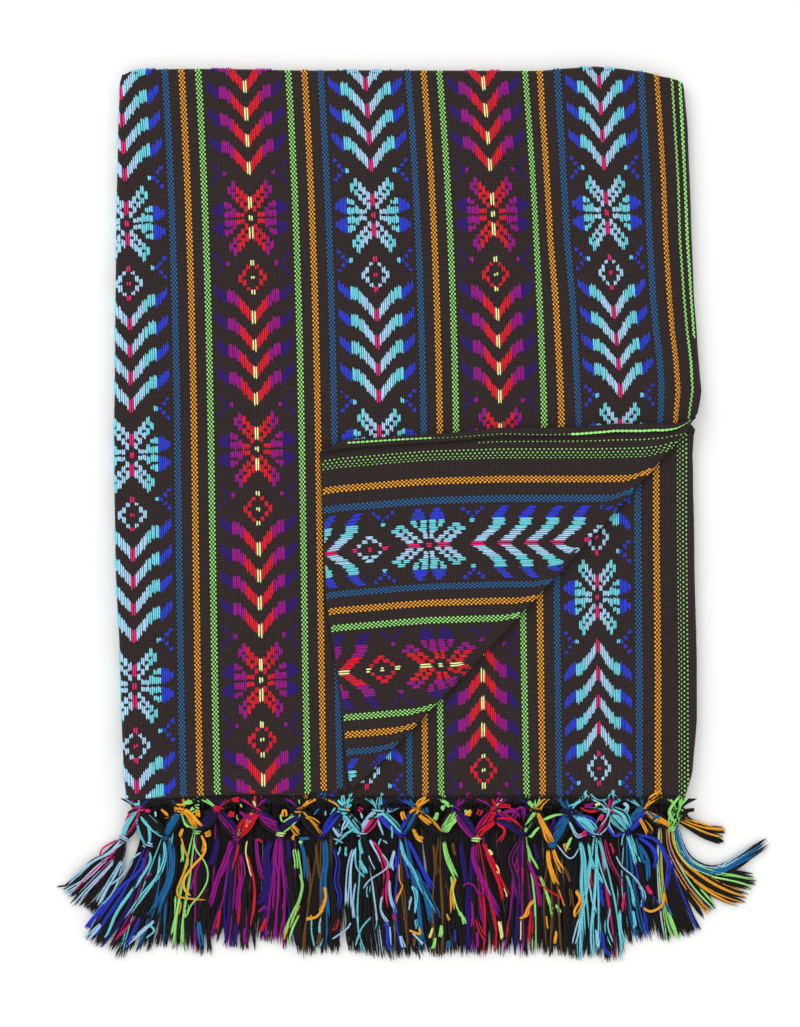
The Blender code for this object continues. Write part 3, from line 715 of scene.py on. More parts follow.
# the selvedge has two narrow lines on the front; on the back they are rows of small dots
frontRows = stripeRows + [(4 * step + away, 2, 1.3, 0.75, 1.1, "green") for away in (54.0, 60.4)]
backRows = stripeRows + [(4 * step + 55.7, 4, 1.65, 0.44, 0.64, "green"), (4 * step + 62.0, 1, 1.0, 0.36, 0.6, "green")]
ropeRows = [(4 * step + 76.2, 1, 1.0, 0.8, 1.5, "green")]
faintRows = [(4 * step + 76.2, 1, 1.0, 0.32, 0.55, "green")]


def stripeYarns(rows, lowV, highV):
    # threads 1 and 3 are up on even picks, 2 and 4 on odd ones: across, middle, half width, half length and colour
    picks = np.arange(np.floor(lowV / weave["rowHeight"]), np.ceil(highV / weave["rowHeight"])) * weave["rowHeight"]
    yarns = []
    for centre, count, pitch, halfWide, halfLong, name in rows:
        for thread in range(count):
            across = centre + (thread - (count - 1) / 2) * pitch
            along = picks + (thread % 2) * weave["pick"]
            yarns.append(np.column_stack([np.full(len(along), across), along, np.full(len(along), halfWide),
                                          np.full(len(along), halfLong), np.tile(linear(name), (len(along), 1))]))
    yarns = np.concatenate(yarns)
    return yarns[:, 0], yarns[:, 1], yarns[:, 2], yarns[:, 3], yarns[:, 4:]


def addPatches(name, surface, u, low, high, halfWidth, rise, dye, along, finish, side=1.0):
    # each yarn end to end is a small domed strip, narrow at its ends, that dips into the cloth at its rim
    across = np.array((-1.0, 0.0, 1.0))
    dome = np.array((-0.3, 1.0, -0.3))
    along, narrow = np.array(along).T
    swell = np.where((along == 0) | (along == 1), -0.45, 1.0)
    wide = halfWidth[:, None, None] * narrow[None, :, None]
    gridU = u[:, None, None] + wide * across[None, None, :]
    gridV = low[:, None, None] + (high - low)[:, None, None] * along[None, :, None] + 0 * across[None, None, :]
    point, normal = surface(gridU, gridV)
    height = half + rise * np.minimum(dome[None, None, :], swell[None, :, None])
    point = point + normal * side * height[..., None]
    point[..., 2] = np.maximum(point[..., 2], 0.02)
    count = len(u)
    quads = gridQuads(len(along), 3)[None] + (np.arange(count) * len(along) * 3)[:, None, None]
    quads = quads.reshape(-1, 4)
    if side < 0:
        quads = quads[:, ::-1]
    made = addMesh(name, point.reshape(-1, 3), quads, finish)
    tint = dye * (1 + 0.10 * (rng.random((count, 1)) - 0.5))
    addDye(made.data, np.repeat(tint, len(along) * 3, axis=0))
    made.data.shade_smooth()
    return made


def topAt(u, v):
    return topSurface(*topPlace(u, v))


def secondAt(u, v):
    return secondSurface(*secondPlace(u, v))


def clipYarns(u, low, high, first, last, shortest):
    low, high = np.maximum(low, first), np.minimum(high, last)
    return low, high, high - low > shortest


floatAlong = ((0.0, 0.45), (0.14, 0.92), (0.5, 1.0), (0.86, 0.92), (1.0, 0.45))  # place and share of the width
dotAlong = ((0.0, 0.3), (0.28, 0.95), (0.72, 0.95), (1.0, 0.3))
shortestFloat = 0.9
floatHalfWidth = 0.55


def coveredByTurn(x, y, margin):
    # well inside the turned corner, where nothing of the top layer shows
    leftEdge = np.interp(y, turnLeftY, turnLeftX)
    return (y < -2 - margin) & (x > leftEdge + margin)


# on the top layer
u, low, high, dye = bandYarns(-1, 3)
x, _ = topPlace(u, (low + high) / 2)
first = 142.2 + weftTilt(u) - topRoll(x) - 2.2
last = 142.2 + weftTilt(u) - readRows(endRows, x, 2) - 0.8
low, high, keep = clipYarns(u, low, high, first, last, shortestFloat)
x, y = topPlace(u, (low + high) / 2)
left, start, selvedge = topEdges(y)
keep &= (x > left - wrapArc[-1] + 1) & (x < selvedge - 1) & ~coveredByTurn(x, y, 9)
topMotifs = addPatches("topLayerMotifs", topAt, u[keep], low[keep], high[keep], np.full(keep.sum(), floatHalfWidth), 0.42,
                       dye[keep], floatAlong, floatYarn)
u, v, width, long, dye = stripeYarns(frontRows, -100, 372)
x, y = topPlace(u, v)
left, start, selvedge = topEdges(y)
keep = (y < topRoll(x) + 1.6) & (y > readRows(endRows, x, 2) + 1) & (x < selvedge - 0.8) & ~coveredByTurn(x, y, 9)
keep &= (u < 4 * step + 58) | (y > 66)
keep &= x > left - wrapArc[-1] + 1
topStripes = addPatches("topLayerStripes", topAt, u[keep], (v - long)[keep], (v + long)[keep], width[keep], 0.32,
                        dye[keep], dotAlong, stripeYarn)

# on the second layer, where it shows
def secondShows(x, y):
    return (x > foldAcross(y) - 14) | (y < -217)


u, low, high, dye = bandYarns(-2, 1)
x, y = secondPlace(u, (low + high) / 2)
first = stack["wovenEnd"] + 1.2 + 104.6 - 1.3 * weftTilt(u)
low, high, keep = clipYarns(u, low, high, first, 130.0, shortestFloat)
x, y = secondPlace(u, (low + high) / 2)
left, _, selvedge, _ = secondEdges(y)
keep &= secondShows(x, y) & (x < selvedge - 1) & (x > left + 1)
secondMotifs = addPatches("secondLayerMotifs", secondAt, u[keep], low[keep], high[keep], np.full(keep.sum(), floatHalfWidth),
                          0.42, dye[keep], floatAlong, floatYarn)
u, v, width, long, dye = stripeYarns(backRows, -140, 130)
x, y = secondPlace(u, v)
left, _, selvedge, _ = secondEdges(y)
keep = (y > stack["wovenEnd"] + 1) & secondShows(x, y) & (x < selvedge - 0.8) & (x > left + 1) & (u < 4 * step + 60)
secondStripes = addPatches("secondLayerStripes", secondAt, u[keep], (v - long)[keep], (v + long)[keep], width[keep], 0.32,
                           dye[keep], dotAlong, stripeYarn)

# on the turned corner
u, low, high, dye = bandYarns(-2, 1)
low, high, keep = clipYarns(u, low, high, -200, turn["endV"] - 0.8, shortestFloat)
x, y = turnPlace(u, (low + high) / 2)
keep &= (x < foldAcross(y) + 2.0) & (u > uLow + 1) & (u < turn["leaveU"])
turnMotifs = addPatches("turnedCornerMotifs", turnSurface, u[keep], low[keep], high[keep],
                        np.full(keep.sum(), floatHalfWidth), 0.42, dye[keep], floatAlong, floatYarn)
u, v, width, long, dye = stripeYarns(backRows, -200, turn["endV"])
x, y = turnPlace(np.minimum(u, turn["leaveU"]), v)
keep = (x < foldAcross(y) + 2.0) & (u > uLow + 1) & (v < turn["endV"] - 0.8) & ((u < 4 * step + 61) | (x > 46))
turnStripes = addPatches("turnedCornerStripes", turnSurface, u[keep], (v - long)[keep], (v + long)[keep], width[keep],
                         0.32, dye[keep], dotAlong, stripeYarn)
# along the rolled selvedge, where the front of the cloth turns outwards: a bright line, hardly seen between
u, v, width, long, dye = (np.concatenate(pair) for pair in zip(
    stripeYarns(ropeRows, -200, turn["endV"]), stripeYarns(faintRows, -200, turn["endV"])))
x, y = turnPlace(np.minimum(u, turn["leaveU"]), v)
between = (x > 18) & (x < 106)
keep = (x > -36) & (x < foldAcross(y) + 1) & (between == (width < 0.5))
# it lies nearer the top of the roll towards the woven end
u = u - np.interp(x, (-37, 22, 34, 90), (2.6, 1.9, 1.4, 0))
width = width * np.interp(x, (22, 106), (0.7, 1.0))
turnRope = addPatches("turnedCornerRope", turnSurface, u[keep], (v - long)[keep], (v + long)[keep], width[keep],
                      0.4, dye[keep], dotAlong, stripeYarn, side=-1.0)
print("pattern yarns:", [len(o.data.polygons) for o in (topMotifs, topStripes, secondMotifs, secondStripes,
                                                          turnMotifs, turnStripes)])


# The six layers that the top two hide: folded pairs, joined at the top and open at the woven ends and selvedges
hidden = {
    "top": (3.4, 3.4, 2.6, 2.6, 3.8, 3.8),
    "right": (2.8, 4.6, 3.4, 5.2, 3.0, 4.4),
    "bottom": (4.0, 6.5, 3.2, 5.4, 3.6, 4.6),
    "around": 560,
}


def addHidden():
    # rings round the stack: on the sides each layer is a half circle, at the top each pair is one
    side = np.linspace(0, 4, hidden["around"], endpoint=False)
    corner = 0.06
    along = (side % 1) * 2 - 1
    turned = np.floor(side).astype(int)
    square = np.stack([np.ones_like(along), along], axis=1)
    power = np.maximum(np.abs(along) - (1 - corner), 0) / corner
    square[:, 0] -= corner * 0.3 * power ** 2
    angle = turned * np.pi / 2
    px = square[:, 0] * np.cos(angle) - square[:, 1] * np.sin(angle)
    py = square[:, 0] * np.sin(angle) + square[:, 1] * np.cos(angle)
    rings = []
    for layer in range(stack["hiddenLayers"]):
        for part in (0.02, 0.12, 0.35, 0.65, 0.88, 0.98):
            z = (layer + part) * stack["cloth"]
            groove = 0.75 * (1 - np.sqrt(max(0.0, 1 - (2 * part - 1) ** 2)))
            pair = ((layer % 2) + part) / 2
            foldGroove = 1.5 * (1 - np.sqrt(max(0.0, 1 - (2 * pair - 1) ** 2)))
            level = 4.0 + py * 230.0
            left = readRows(sideRows, level, 1) + half + stack["leftOut"]
            reach = (z - stack["leftMid"]) / (stack["leftHigh"] - half - 0.6)
            if z < stack["cloth"] + 0.6:
                left = left + 0.6
            else:
                left = left - (stack["leftOut"] - half - 0.6) * np.sqrt(max(0.0, 1 - reach * reach))
            wander = 0.5 * np.sin(level / 17 + layer * 1.7) + 0.3 * np.sin(level / 7.3 + layer)
            right = readRows(sideRows, level, 2) - hidden["right"][layer] - groove - 0.4 + 0.6 * wander
            x = left + (right - left) * (px + 1) / 2
            top = readRows(endRows, x, 1) - hidden["top"][layer] - foldGroove
            bottom = stack["wovenEnd"] + hidden["bottom"][layer] + groove + 0.5 * np.sin(x / 9 + layer * 2.1)
            y = bottom + (top - bottom) * (py + 1) / 2
            rings.append(np.stack([x, y, np.full_like(x, z)], axis=1))
    points = np.array(rings)
    count, around = points.shape[:2]
    index = np.arange(count * around).reshape(count, around)
    after = np.roll(index, -1, axis=1)
    quads = np.stack([index[:-1], after[:-1], after[1:], index[1:]], axis=-1).reshape(-1, 4).tolist()
    quads += [tuple(int(i) for i in index[0, ::-1]), tuple(int(i) for i in index[-1])]
    mesh = bpy.data.meshes.new("hiddenLayersCloth")
    mesh.from_pydata((points.reshape(-1, 3) * mm).tolist(), [], quads)
    mesh.materials.append(groundCotton)
    made = bpy.data.objects.new("hiddenLayersCloth", mesh)
    bpy.context.collection.objects.link(made)
    addClothMap(mesh, np.stack([points[..., 0].ravel(), (points[..., 1] + points[..., 2]).ravel()], axis=-1))
    mesh.shade_smooth()
    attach(made, "root")
    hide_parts("hidden_layers")
    return made


hiddenLayers = addHidden()


# Fringe. A letter is a lock of yarns from one cone; the letters of a word lie side by side, left to right on the way down
coneLetters = {
    "k": "black", "l": "lightBlue", "t": "turquoise", "r": "royal", "p": "pink", "R": "red", "m": "magenta",
    "i": "indigo", "y": "paleYellow", "b": "blue", "o": "orange", "g": "green", "n": "brown",
}
fringe = {
    "yarnRadius": 0.56,
    "knotZ": 3.9,
    "stations": 12,
    "tasselLock": 4,  # yarns in a lock
    "bundleLock": 4,
    "skirtLock": 3,
    "skirtPitch": 6.0,
    "tasselBlack": 0.6,
    "bundleBlack": 0.4,
    "skirtPlain": 0.86,  # share of plain black locks in the fringe of the layers below
    "shade": 0.09,  # how much the dye differs from yarn to yarn
}
# over the first row of knots: the warps that run into each one, and its wrapping
firstFans = (
    "ktpklkrk", "kbkkoog", "ggkkimR", "mRkyRkmi", "imkgkoo", "obkbkttk", "kttktrrk", "rbbkkoo",
    "ggkkimmk", "mRkRRymk", "ikkggoo", "kbbkktt", "lktkpmtt", "ttkbkoo", "kggkggk",
)
firstWraps = ("rp", "o", "Rm", "Rm", "ok", "tt", "tl", "ok", "mi", "Rm", "ok", "ik", "lt", "oo", "gk")
# tassels: knot, left tip, right tip, wrapping, the locks that lie underneath
tassels = [
    ((-180.6, -256.0), (-222.4, -290.3), (-199.5, -305.0), "lkl", "kkllkkppkkkkkkkkklk"),
    ((-165.5, -260.5), (-209.0, -321.0), (-186.0, -330.0), "lk", "kkkkkrkkkkkikkmkkkkk"),
    ((-154.0, -254.5), (-185.0, -334.0), (-158.0, -324.0), "kb", "ktkkkkkkkkbkkkkkkbkk"),
    ((-134.0, -251.0), (-152.0, -325.0), (-126.0, -333.0), "kg", "kgkkkkgkkkkmkkkkkkkk"),
    ((-108.2, -255.0), (-125.0, -321.5), (-99.0, -329.0), "km", "kkmkkiikkmkkRkkkkmkk"),
    ((-80.0, -252.5), (-93.0, -319.5), (-66.0, -331.0), "gy", "kiikmkkkmkkmkkikkkkk"),
    ((-53.4, -255.0), (-64.0, -332.0), (-42.0, -329.0), "ik", "knkkkkknkkkkbkkkkkkk"),
    ((-27.7, -253.0), (-34.0, -328.0), (-8.0, -334.5), "lk", "kkkkktkkkkkkkkklkkkk"),
    ((-1.6, -253.0), (-5.0, -334.0), (18.0, -333.0), "ri", "kkrkkknkkkkkkkkbkbkk"),
    ((23.4, -252.5), (16.0, -332.0), (40.0, -331.0), "kk", "kknkkkknkkkkkkkkkkkk"),
    ((45.8, -256.0), (40.0, -332.5), (63.0, -330.5), "yg", "kiikkmkkkmkRkkkkRkkk"),
    ((76.2, -252.5), (64.0, -331.5), (89.0, -331.0), "ik", "kmkkkikkmkkkkmkkgkkk"),
    ((95.0, -260.0), (89.0, -330.5), (109.0, -333.0), "b", "knkkkknkkkkknkkkkkkk"),
    ((123.3, -253.5), (108.0, -332.5), (141.0, -335.5), "lk", "kkttkkkktktkkkkpkktk"),
    ((143.0, -251.0), (141.0, -326.5), (163.0, -317.0), "ki", "kktkkkkbkkkbkkrkkkkk"),
    ((171.5, -249.0), (169.0, -321.0), (230.5, -262.0), "g", ""),
]
# half bundles: from a knot of the first row to a tassel
halfBundles = (
    (0, 0, "ttlttkkppkk"), (0, 1, "tkkkt"), (0, 2, "ttkktk"), (1, 2, "kbbbk"), (1, 3, "kkggoook"),
    (2, 3, "kiiik"), (2, 4, "kmmkii"), (3, 4, "RRyyRR"), (3, 5, "kmmmii"), (4, 5, "kiikg"),
    (4, 6, "kkkook"), (5, 6, "rrrrbk"), (5, 7, "tktttkt"), (6, 7, "llppp"), (6, 8, "rrkkttt"),
    (7, 8, "rrkbbk"), (7, 9, "kkkook"), (8, 9, "kgggg"), (8, 10, "mmmiii"), (9, 10, "mRRRRk"),
    (9, 11, "kiimmRR"), (10, 11, "kkgggk"), (10, 12, "kookk"), (11, 12, "rbbbbk"), (11, 13, "krkttkt"),
    (12, 13, "lkppkl"), (12, 14, "ttktttl"), (13, 14, "bbbrrr"), (13, 15, "kkooook"), (14, 15, "ggkgkg"),
)
# the open tassel at the right: middle line of each fan, how wide it starts and ends, locks
openFans = (
    (((176, -243.5), (184, -247.5), (195, -252.0), (207, -254.5)), 3.0, 11.0, "kkgkokkoko"),
    (((174, -247.5), (176.5, -259), (182, -269.5), (192, -276), (204, -276.5), (218, -269), (236, -257)),
     3.2, 6.0, "kbbkbblbl"),
    (((173, -248), (175.5, -262), (183, -272), (198, -279), (212, -281.5), (227, -285)), 2.0, 9.0, "kgkkggkk"),
    (((171, -247), (171, -257), (175, -267), (183, -276.5), (196, -286), (209, -292.5), (221, -296.5)),
     3.4, 11.0, "kokokkkooko"),
    (((168, -248), (170, -263), (177, -277), (186, -290.5), (198, -305)), 3.0, 13.0, "kkokogkigkgk"),
    (((165.5, -249), (167.5, -275), (172, -300), (179, -321)), 5.0, 27.0, "klogkgkkokkkkkkkkkkkkirk"),
)
# the locks that lie on top: tassel, cone, width, the points that each passes through
tasselLocks = (
    (0, "l", 3, ((-179.4, -256.9), (-189, -265.4), (-199.6, -270.7), (-209.1, -279.2), (-218.7, -287.7))),
    (0, "l", 2.5, ((-181.5, -259), (-194.3, -268.6), (-202.8, -274.9), (-214.4, -287.7))),
    (0, "p", 2, ((-183.7, -261.1), (-190, -268.6), (-201.7, -279.2), (-216.6, -294))),
    (0, "l", 4, ((-186.8, -269.6), (-196.4, -279.2), (-208.1, -291.9), (-215.5, -301.5))),
    (0, "l", 4, ((-181.5, -269.6), (-190, -284.5), (-199.6, -302.5))),
    (1, "l", 1.5, ((-168.8, -263.8), (-176.2, -269.6), (-181.5, -278.1), (-191.1, -286.6))),
    (1, "r", 3, ((-167.2, -266.5), (-170.9, -277.1), (-181.5, -286.6), (-193.2, -300.4), (-201.7, -312.1))),
    (1, "t", 2.2, ((-164, -264.3), (-164, -271.8), (-173, -286.6), (-184.7, -302.5), (-191.1, -316.3), (-195.3, -322.7))),
    (1, "m", 1.5, ((-162.4, -278.1), (-167.7, -283.4))),
    (1, "p", 2, ((-173, -305.7), (-179.4, -314.2), (-189, -323.2))),
    (1, "l", 3.5, ((-195.3, -311), (-200.6, -316.3), (-205.9, -322.7))),
    (1, "r", 3, ((-193.2, -298.3), (-200.6, -307.8), (-204.9, -315.3))),
    (2, "t", 2.5, ((-155, -256.9), (-154.5, -268.6), (-159.2, -280.3), (-169.9, -293), (-181.5, -308.9))),
    (2, "b", 3, ((-151.8, -256.9), (-149.7, -268.6), (-150.8, -279.2), (-157.1, -293), (-167.7, -307.8))),
    (2, "b", 2.5, ((-148.6, -259), (-147.6, -269.6), (-149.7, -283.4), (-156.1, -298.3), (-158.2, -308.9))),
    (2, "t", 2, ((-157.1, -265.4), (-159.2, -280.3), (-168.8, -294), (-178.3, -306.8))),
    (2, "l", 3, ((-161.4, -308.9), (-169.9, -316.3), (-181.5, -327))),
    (2, "t", 2, ((-164.5, -311), (-161.4, -315.3), (-166.7, -320.6))),
    (2, "r", 2, ((-169.9, -305.7), (-175.2, -317.4), (-180.5, -325.9))),
    (3, "g", 3, ((-143.3, -259), (-142.8, -265.4), (-143.9, -271.8))),
    (3, "g", 1.2, ((-147.6, -291.9), (-148.1, -304.7), (-149.7, -319.5))),
    (3, "o", 1.5, ((-143.9, -296.2), (-144.4, -305.7))), (3, "g", 2.4, ((-138.5, -298.3), (-142.3, -307.3))),
    (3, "b", 3.5, ((-132.7, -308.9), (-131.6, -317.4), (-129.5, -327.5))),
    (3, "R", 2, ((-126.3, -287.7), (-132.7, -301.5), (-134.8, -316.3))),
    (3, "m", 1.8, ((-129.5, -264.3), (-135.9, -281.3), (-138, -289.8))),
    (3, "o", 3, ((-130.6, -253.2), (-128.5, -259), (-130.6, -265.4))),
    (4, "i", 5, ((-120, -254.8), (-122.1, -266.5), (-126.3, -274.9))),
    (4, "m", 3.2, ((-112, -256.9), (-114.7, -266.5), (-121, -283.4), (-126.3, -303.6))),
    (4, "m", 2, ((-110.4, -260.1), (-113.6, -268.6), (-118.9, -282.4))),
    (4, "R", 1.8, ((-106.2, -259), (-108.3, -267.5), (-110.9, -278.1))),
    (4, "m", 4, ((-105.6, -265.4), (-103.5, -277.1), (-106.2, -289.8), (-107.2, -307.8))),
    (4, "R", 2.5, ((-104.6, -269.6), (-103.2, -287.7), (-102.8, -307.8))),
    (4, "y", 1.5, ((-100.9, -256.4), (-101.9, -264.3), (-99.8, -274.9), (-98.2, -284.5))),
    (4, "R", 2.2, ((-101.9, -264.3), (-96.6, -287.7), (-99.8, -314.2))),
    (4, "i", 4, ((-108.3, -308.9), (-110.4, -327))), (4, "R", 3, ((-118.4, -301.5), (-121, -315.3))),
    (4, "m", 2.5, ((-103, -313.2), (-103, -324.8))),
    (5, "m", 3.2, ((-95.6, -255.8), (-94.5, -268.6), (-89.7, -285.6))),
    (5, "i", 6, ((-86, -256.9), (-89.2, -266.5), (-88.1, -283.4), (-91.3, -294), (-97.2, -296.7))),
    (5, "m", 3.5, ((-81.8, -254.8), (-83.9, -268.6), (-82.8, -283.4), (-83.9, -305.7))),
    (5, "m", 3, ((-79.6, -268.6), (-76.5, -283.4), (-75.9, -290.9))),
    (5, "i", 2.5, ((-75.4, -255.8), (-73.3, -269.6))), (5, "m", 2, ((-77.5, -291.9), (-77.5, -303.1))),
    (5, "b", 2.5, ((-68, -256.9), (-64.8, -266.5), (-62.7, -284.5))), (5, "g", 3, ((-71.1, -262.2), (-69, -277.1))),
    (5, "g", 2.2, ((-68, -278.1), (-65.8, -285.6), (-68, -296.2), (-72.2, -304.7), (-80.7, -323.8))),
    (5, "o", 2, ((-66.9, -298.3), (-72.2, -310), (-78.6, -323.8))),
    (5, "g", 1.5, ((-68, -304.7), (-72.2, -314.2), (-75.4, -328))), (5, "m", 2, ((-94.5, -303.1), (-88.7, -298.8))),
    (5, "R", 2, ((-89.2, -306.8), (-92.9, -316.3))), (6, "n", 2, ((-57.3, -259), (-55.7, -274.9), (-53.3, -287.7))),
    (6, "o", 2, ((-52, -287.7), (-51.4, -296.2), (-55.2, -305.2))), (6, "o", 2, ((-59.9, -305.2), (-62.6, -308.9))),
    (6, "b", 5, ((-51.4, -256.4), (-50.9, -269.6), (-52.5, -283.4), (-51.4, -298.3), (-51.4, -308.9))),
    (6, "r", 3, ((-46.1, -261.1), (-42.9, -270.7), (-44, -283.4), (-41.9, -294), (-44.5, -306.8))),
    (6, "t", 2, ((-59.9, -306.8), (-59.9, -317.4), (-57.3, -327.5))),
    (6, "t", 2, ((-48.3, -306.8), (-52, -317.4), (-54.6, -328))), (6, "t", 1.5, ((-54.1, -306.8), (-55.5, -318.5))),
    (6, "R", 2.2, ((-42.9, -307.3), (-45.6, -316.3))),
    (6, "n", 1.5, ((-62.6, -266.5), (-61, -283.4), (-62.1, -298.3))),
    (7, "t", 2.5, ((-29.2, -256.4), (-28.6, -261.1), (-27, -266.5))),
    (7, "l", 5, ((-32.9, -262.2), (-35.5, -272.8), (-36.6, -287.7), (-36.4, -304.7))),
    (7, "t", 2.5, ((-31.3, -261.1), (-30.7, -273.9), (-24.4, -281.8))),
    (7, "t", 3, ((-29.2, -269.1), (-24.9, -279.7))), (7, "l", 3, ((-31.3, -283.4), (-32.9, -298.3), (-31.3, -308.9))),
    (7, "l", 1.5, ((-23.3, -266.5), (-19.1, -276.5))),
    (7, "p", 4.4, ((-20.7, -257.4), (-15.4, -266.5), (-12, -279.2), (-13.2, -291.9), (-10.9, -307.3))),
    (7, "l", 2, ((-22.8, -256.4), (-17.5, -265.4), (-14.3, -273.4))),
    (7, "l", 2, ((-14.8, -291.9), (-15.4, -302.5), (-9, -312.6))),
    (7, "l", 3, ((-10, -281.3), (-9, -294), (-5.8, -305.2))), (7, "t", 2, ((-22.6, -282.9), (-23.8, -294.6))),
    (7, "R", 2.5, ((-7.1, -304.1), (-6.2, -309.4))), (7, "t", 3, ((-21.2, -306.3), (-27, -314.2), (-31.3, -327))),
    (7, "t", 2, ((-17.3, -308.9), (-19.6, -320.6))),
    (7, "r", 2.5, ((-12.2, -308.9), (-11.1, -317.4), (-9.8, -330.1))), (7, "l", 2, ((-9.5, -312.1), (-8.5, -328))),
    (8, "l", 2.5, ((-6.6, -263.3), (-8.5, -270.7), (-7.9, -277.6))), (8, "r", 2, ((-5.3, -266.5), (-5.8, -276))),
    (8, "t", 3, ((-3.1, -256.4), (-0.5, -266.5), (6.9, -279.2), (13.3, -291.9), (23.4, -306.3))),
    (8, "r", 3, ((1.6, -256.4), (6.9, -266.5), (13.3, -279.2), (19.1, -290.3))),
    (8, "b", 4, ((6.9, -274.9), (13.3, -291.9), (16.5, -304.7), (18.6, -312.1))),
    (8, "b", 3, ((11.2, -283.4), (17.5, -296.2), (23.9, -308.4))),
    (8, "o", 2, ((-3.7, -271.2), (-3.1, -282.4), (-1.3, -286.6), (-4.7, -294), (-5.8, -298.8))),
    (8, "n", 1.8, ((-0.5, -287.2), (0.6, -300.4), (-0.5, -313.7))),
    (8, "t", 2.5, ((4, -286.1), (7.1, -291.9), (6.4, -307.3))), (8, "l", 2, ((4, -293), (2.2, -303.1))),
    (8, "r", 2, ((-1, -268.6), (3.2, -281.8))), (8, "l", 1.2, ((4.8, -316.3), (12, -324.8))),
    (8, "l", 3, ((-3.1, -318.5), (-1, -327.5))), (8, "t", 2, ((6.9, -307.8), (8.2, -314.7))),
    (8, "n", 2, ((5.9, -319.5), (5.3, -325.9))), (9, "n", 2, ((18.4, -259), (19.5, -272.8), (21.8, -281.8))),
    (9, "n", 1.5, ((26, -283.4), (27.3, -293))),
    (9, "g", 4.2, ((25, -257.1), (27.1, -266.5), (30.5, -274.9), (35.4, -286.1))),
    (9, "g", 2, ((29.8, -279.2), (30.5, -287.7), (33.5, -300.4), (39.3, -311.6))),
    (9, "o", 2.6, ((32.6, -280.8), (30.3, -289.8), (31.6, -307.3))), (9, "o", 1.5, ((26.9, -304.1), (28.4, -309.4))),
    (9, "g", 2.4, ((35.4, -303.1), (38.8, -311.6))), (9, "n", 3, ((30.8, -258.5), (32.4, -267.5))),
    (9, "g", 2, ((23.5, -311.6), (22.9, -320.1))), (9, "g", 1.5, ((19.7, -319.5), (17.5, -328))),
    (9, "y", 2, ((18, -313.2), (15.6, -320.6))), (9, "b", 3, ((28.7, -321.6), (27.3, -327))),
    (9, "r", 2, ((32.4, -314.2), (32.4, -323.2))), (10, "i", 4, ((35.8, -256.9), (37.7, -271.8), (40.1, -288.7))),
    (10, "m", 4, ((43.6, -258.5), (44.3, -270.7), (51.5, -286.6), (57.9, -300.4), (61.3, -308.4))),
    (10, "m", 2, ((45.4, -259.6), (47.5, -274.9), (53.8, -287.7))),
    (10, "R", 2, ((46.8, -274.9), (47.5, -285.6), (49.6, -307.3))),
    (10, "R", 3, ((49.6, -258.5), (56.8, -269.6), (64.2, -285.6), (68, -294))),
    (10, "R", 2.5, ((51.5, -258.5), (53.8, -268.6), (60, -283.4), (63.7, -297.2))),
    (10, "y", 2, ((53.4, -262.7), (56, -267))), (10, "y", 2, ((58.1, -272.3), (61.3, -278.7))),
    (10, "y", 2, ((64, -287.2), (67.2, -293.5))), (10, "m", 2, ((43, -296.2), (44.1, -314.2))),
    (10, "R", 3, ((45.4, -306.8), (49.6, -317.4), (52, -321.1))), (10, "i", 3, ((53.6, -289.8), (60.2, -305.2))),
    (10, "y", 2.4, ((60.2, -308.9), (63.4, -321.6))), (10, "m", 2.4, ((46.4, -315.3), (47.1, -327))),
    (11, "m", 4, ((74.4, -256.4), (68.3, -268.6), (71.2, -279.2), (74.4, -298.8))),
    (11, "m", 4, ((72.8, -265.4), (74.4, -283.4), (75.5, -303.1))), (11, "R", 1.5, ((75.5, -273.9), (75.5, -288.7))),
    (11, "m", 3, ((78.4, -269.1), (84, -283.4), (87.4, -303.1))),
    (11, "g", 2, ((78.4, -259.6), (81.8, -268.6), (86.3, -277.6))),
    (11, "g", 2.8, ((86.3, -279.2), (91.4, -291.9), (95.6, -307.3))),
    (11, "R", 2, ((85, -279.2), (91.4, -287.7), (102.2, -294.3))), (11, "i", 3, ((82.9, -258.5), (86.3, -271.2))),
    (11, "R", 4.5, ((81.8, -302), (80.6, -323.8))), (11, "R", 3, ((67, -307.8), (66.4, -322.7))),
    (11, "g", 2.2, ((96.9, -298.3), (100.1, -305.2))),
    (11, "o", 2, ((83.7, -294.6), (79.7, -299.4), (78.7, -304.7), (74.2, -308.4))),
    (11, "y", 1.5, ((74.8, -307.8), (74.4, -322.2))), (11, "y", 2.2, ((62.2, -308.9), (64, -321.1))),
    (12, "o", 4, ((91.9, -262.7), (92.4, -270.7), (95.6, -281.3), (98, -287.2))),
    (12, "o", 3.5, ((95.1, -262.7), (97.8, -270.7), (101.6, -277.6))),
    (12, "o", 1.5, ((98, -286.6), (104.3, -299.9))), (12, "n", 2, ((102, -273.4), (106.5, -284))),
    (12, "o", 2.2, ((110.3, -288.7), (112.8, -296.2), (109.4, -306.3))),
    (12, "o", 2.2, ((91.4, -305.7), (92.4, -315.3))), (12, "o", 2, ((97.3, -315.3), (96.7, -324.3))),
    (12, "n", 2, ((106.2, -287.7), (107.3, -300.4))),
    (13, "t", 4.4, ((112.6, -257.4), (114.7, -269.6), (114.7, -283.4), (115.8, -300.4), (116.9, -327.5))),
    (13, "t", 2.5, ((117.9, -258.5), (121.1, -272.8), (129.8, -288.2))),
    (13, "t", 2.5, ((122.2, -256.4), (125.4, -270.7), (130.7, -287.7), (134.7, -296.7))),
    (13, "t", 2, ((124.5, -256.4), (127.5, -266.5), (128.7, -277.6))),
    (13, "p", 3.5, ((128.5, -256.4), (131.7, -269.6), (137, -279.2), (142.5, -290.3))),
    (13, "p", 2, ((131.7, -258.5), (135.1, -265.9))),
    (13, "l", 2.5, ((134.9, -265.9), (139.1, -273.9), (148.7, -283.4), (154.2, -297.2))),
    (13, "R", 1.8, ((119.5, -276.5), (120.7, -290.3))), (13, "p", 3.2, ((141.5, -290.3), (140.2, -304.1))),
    (13, "l", 2, ((117.9, -283.4), (120, -291.9), (123.4, -309.4))),
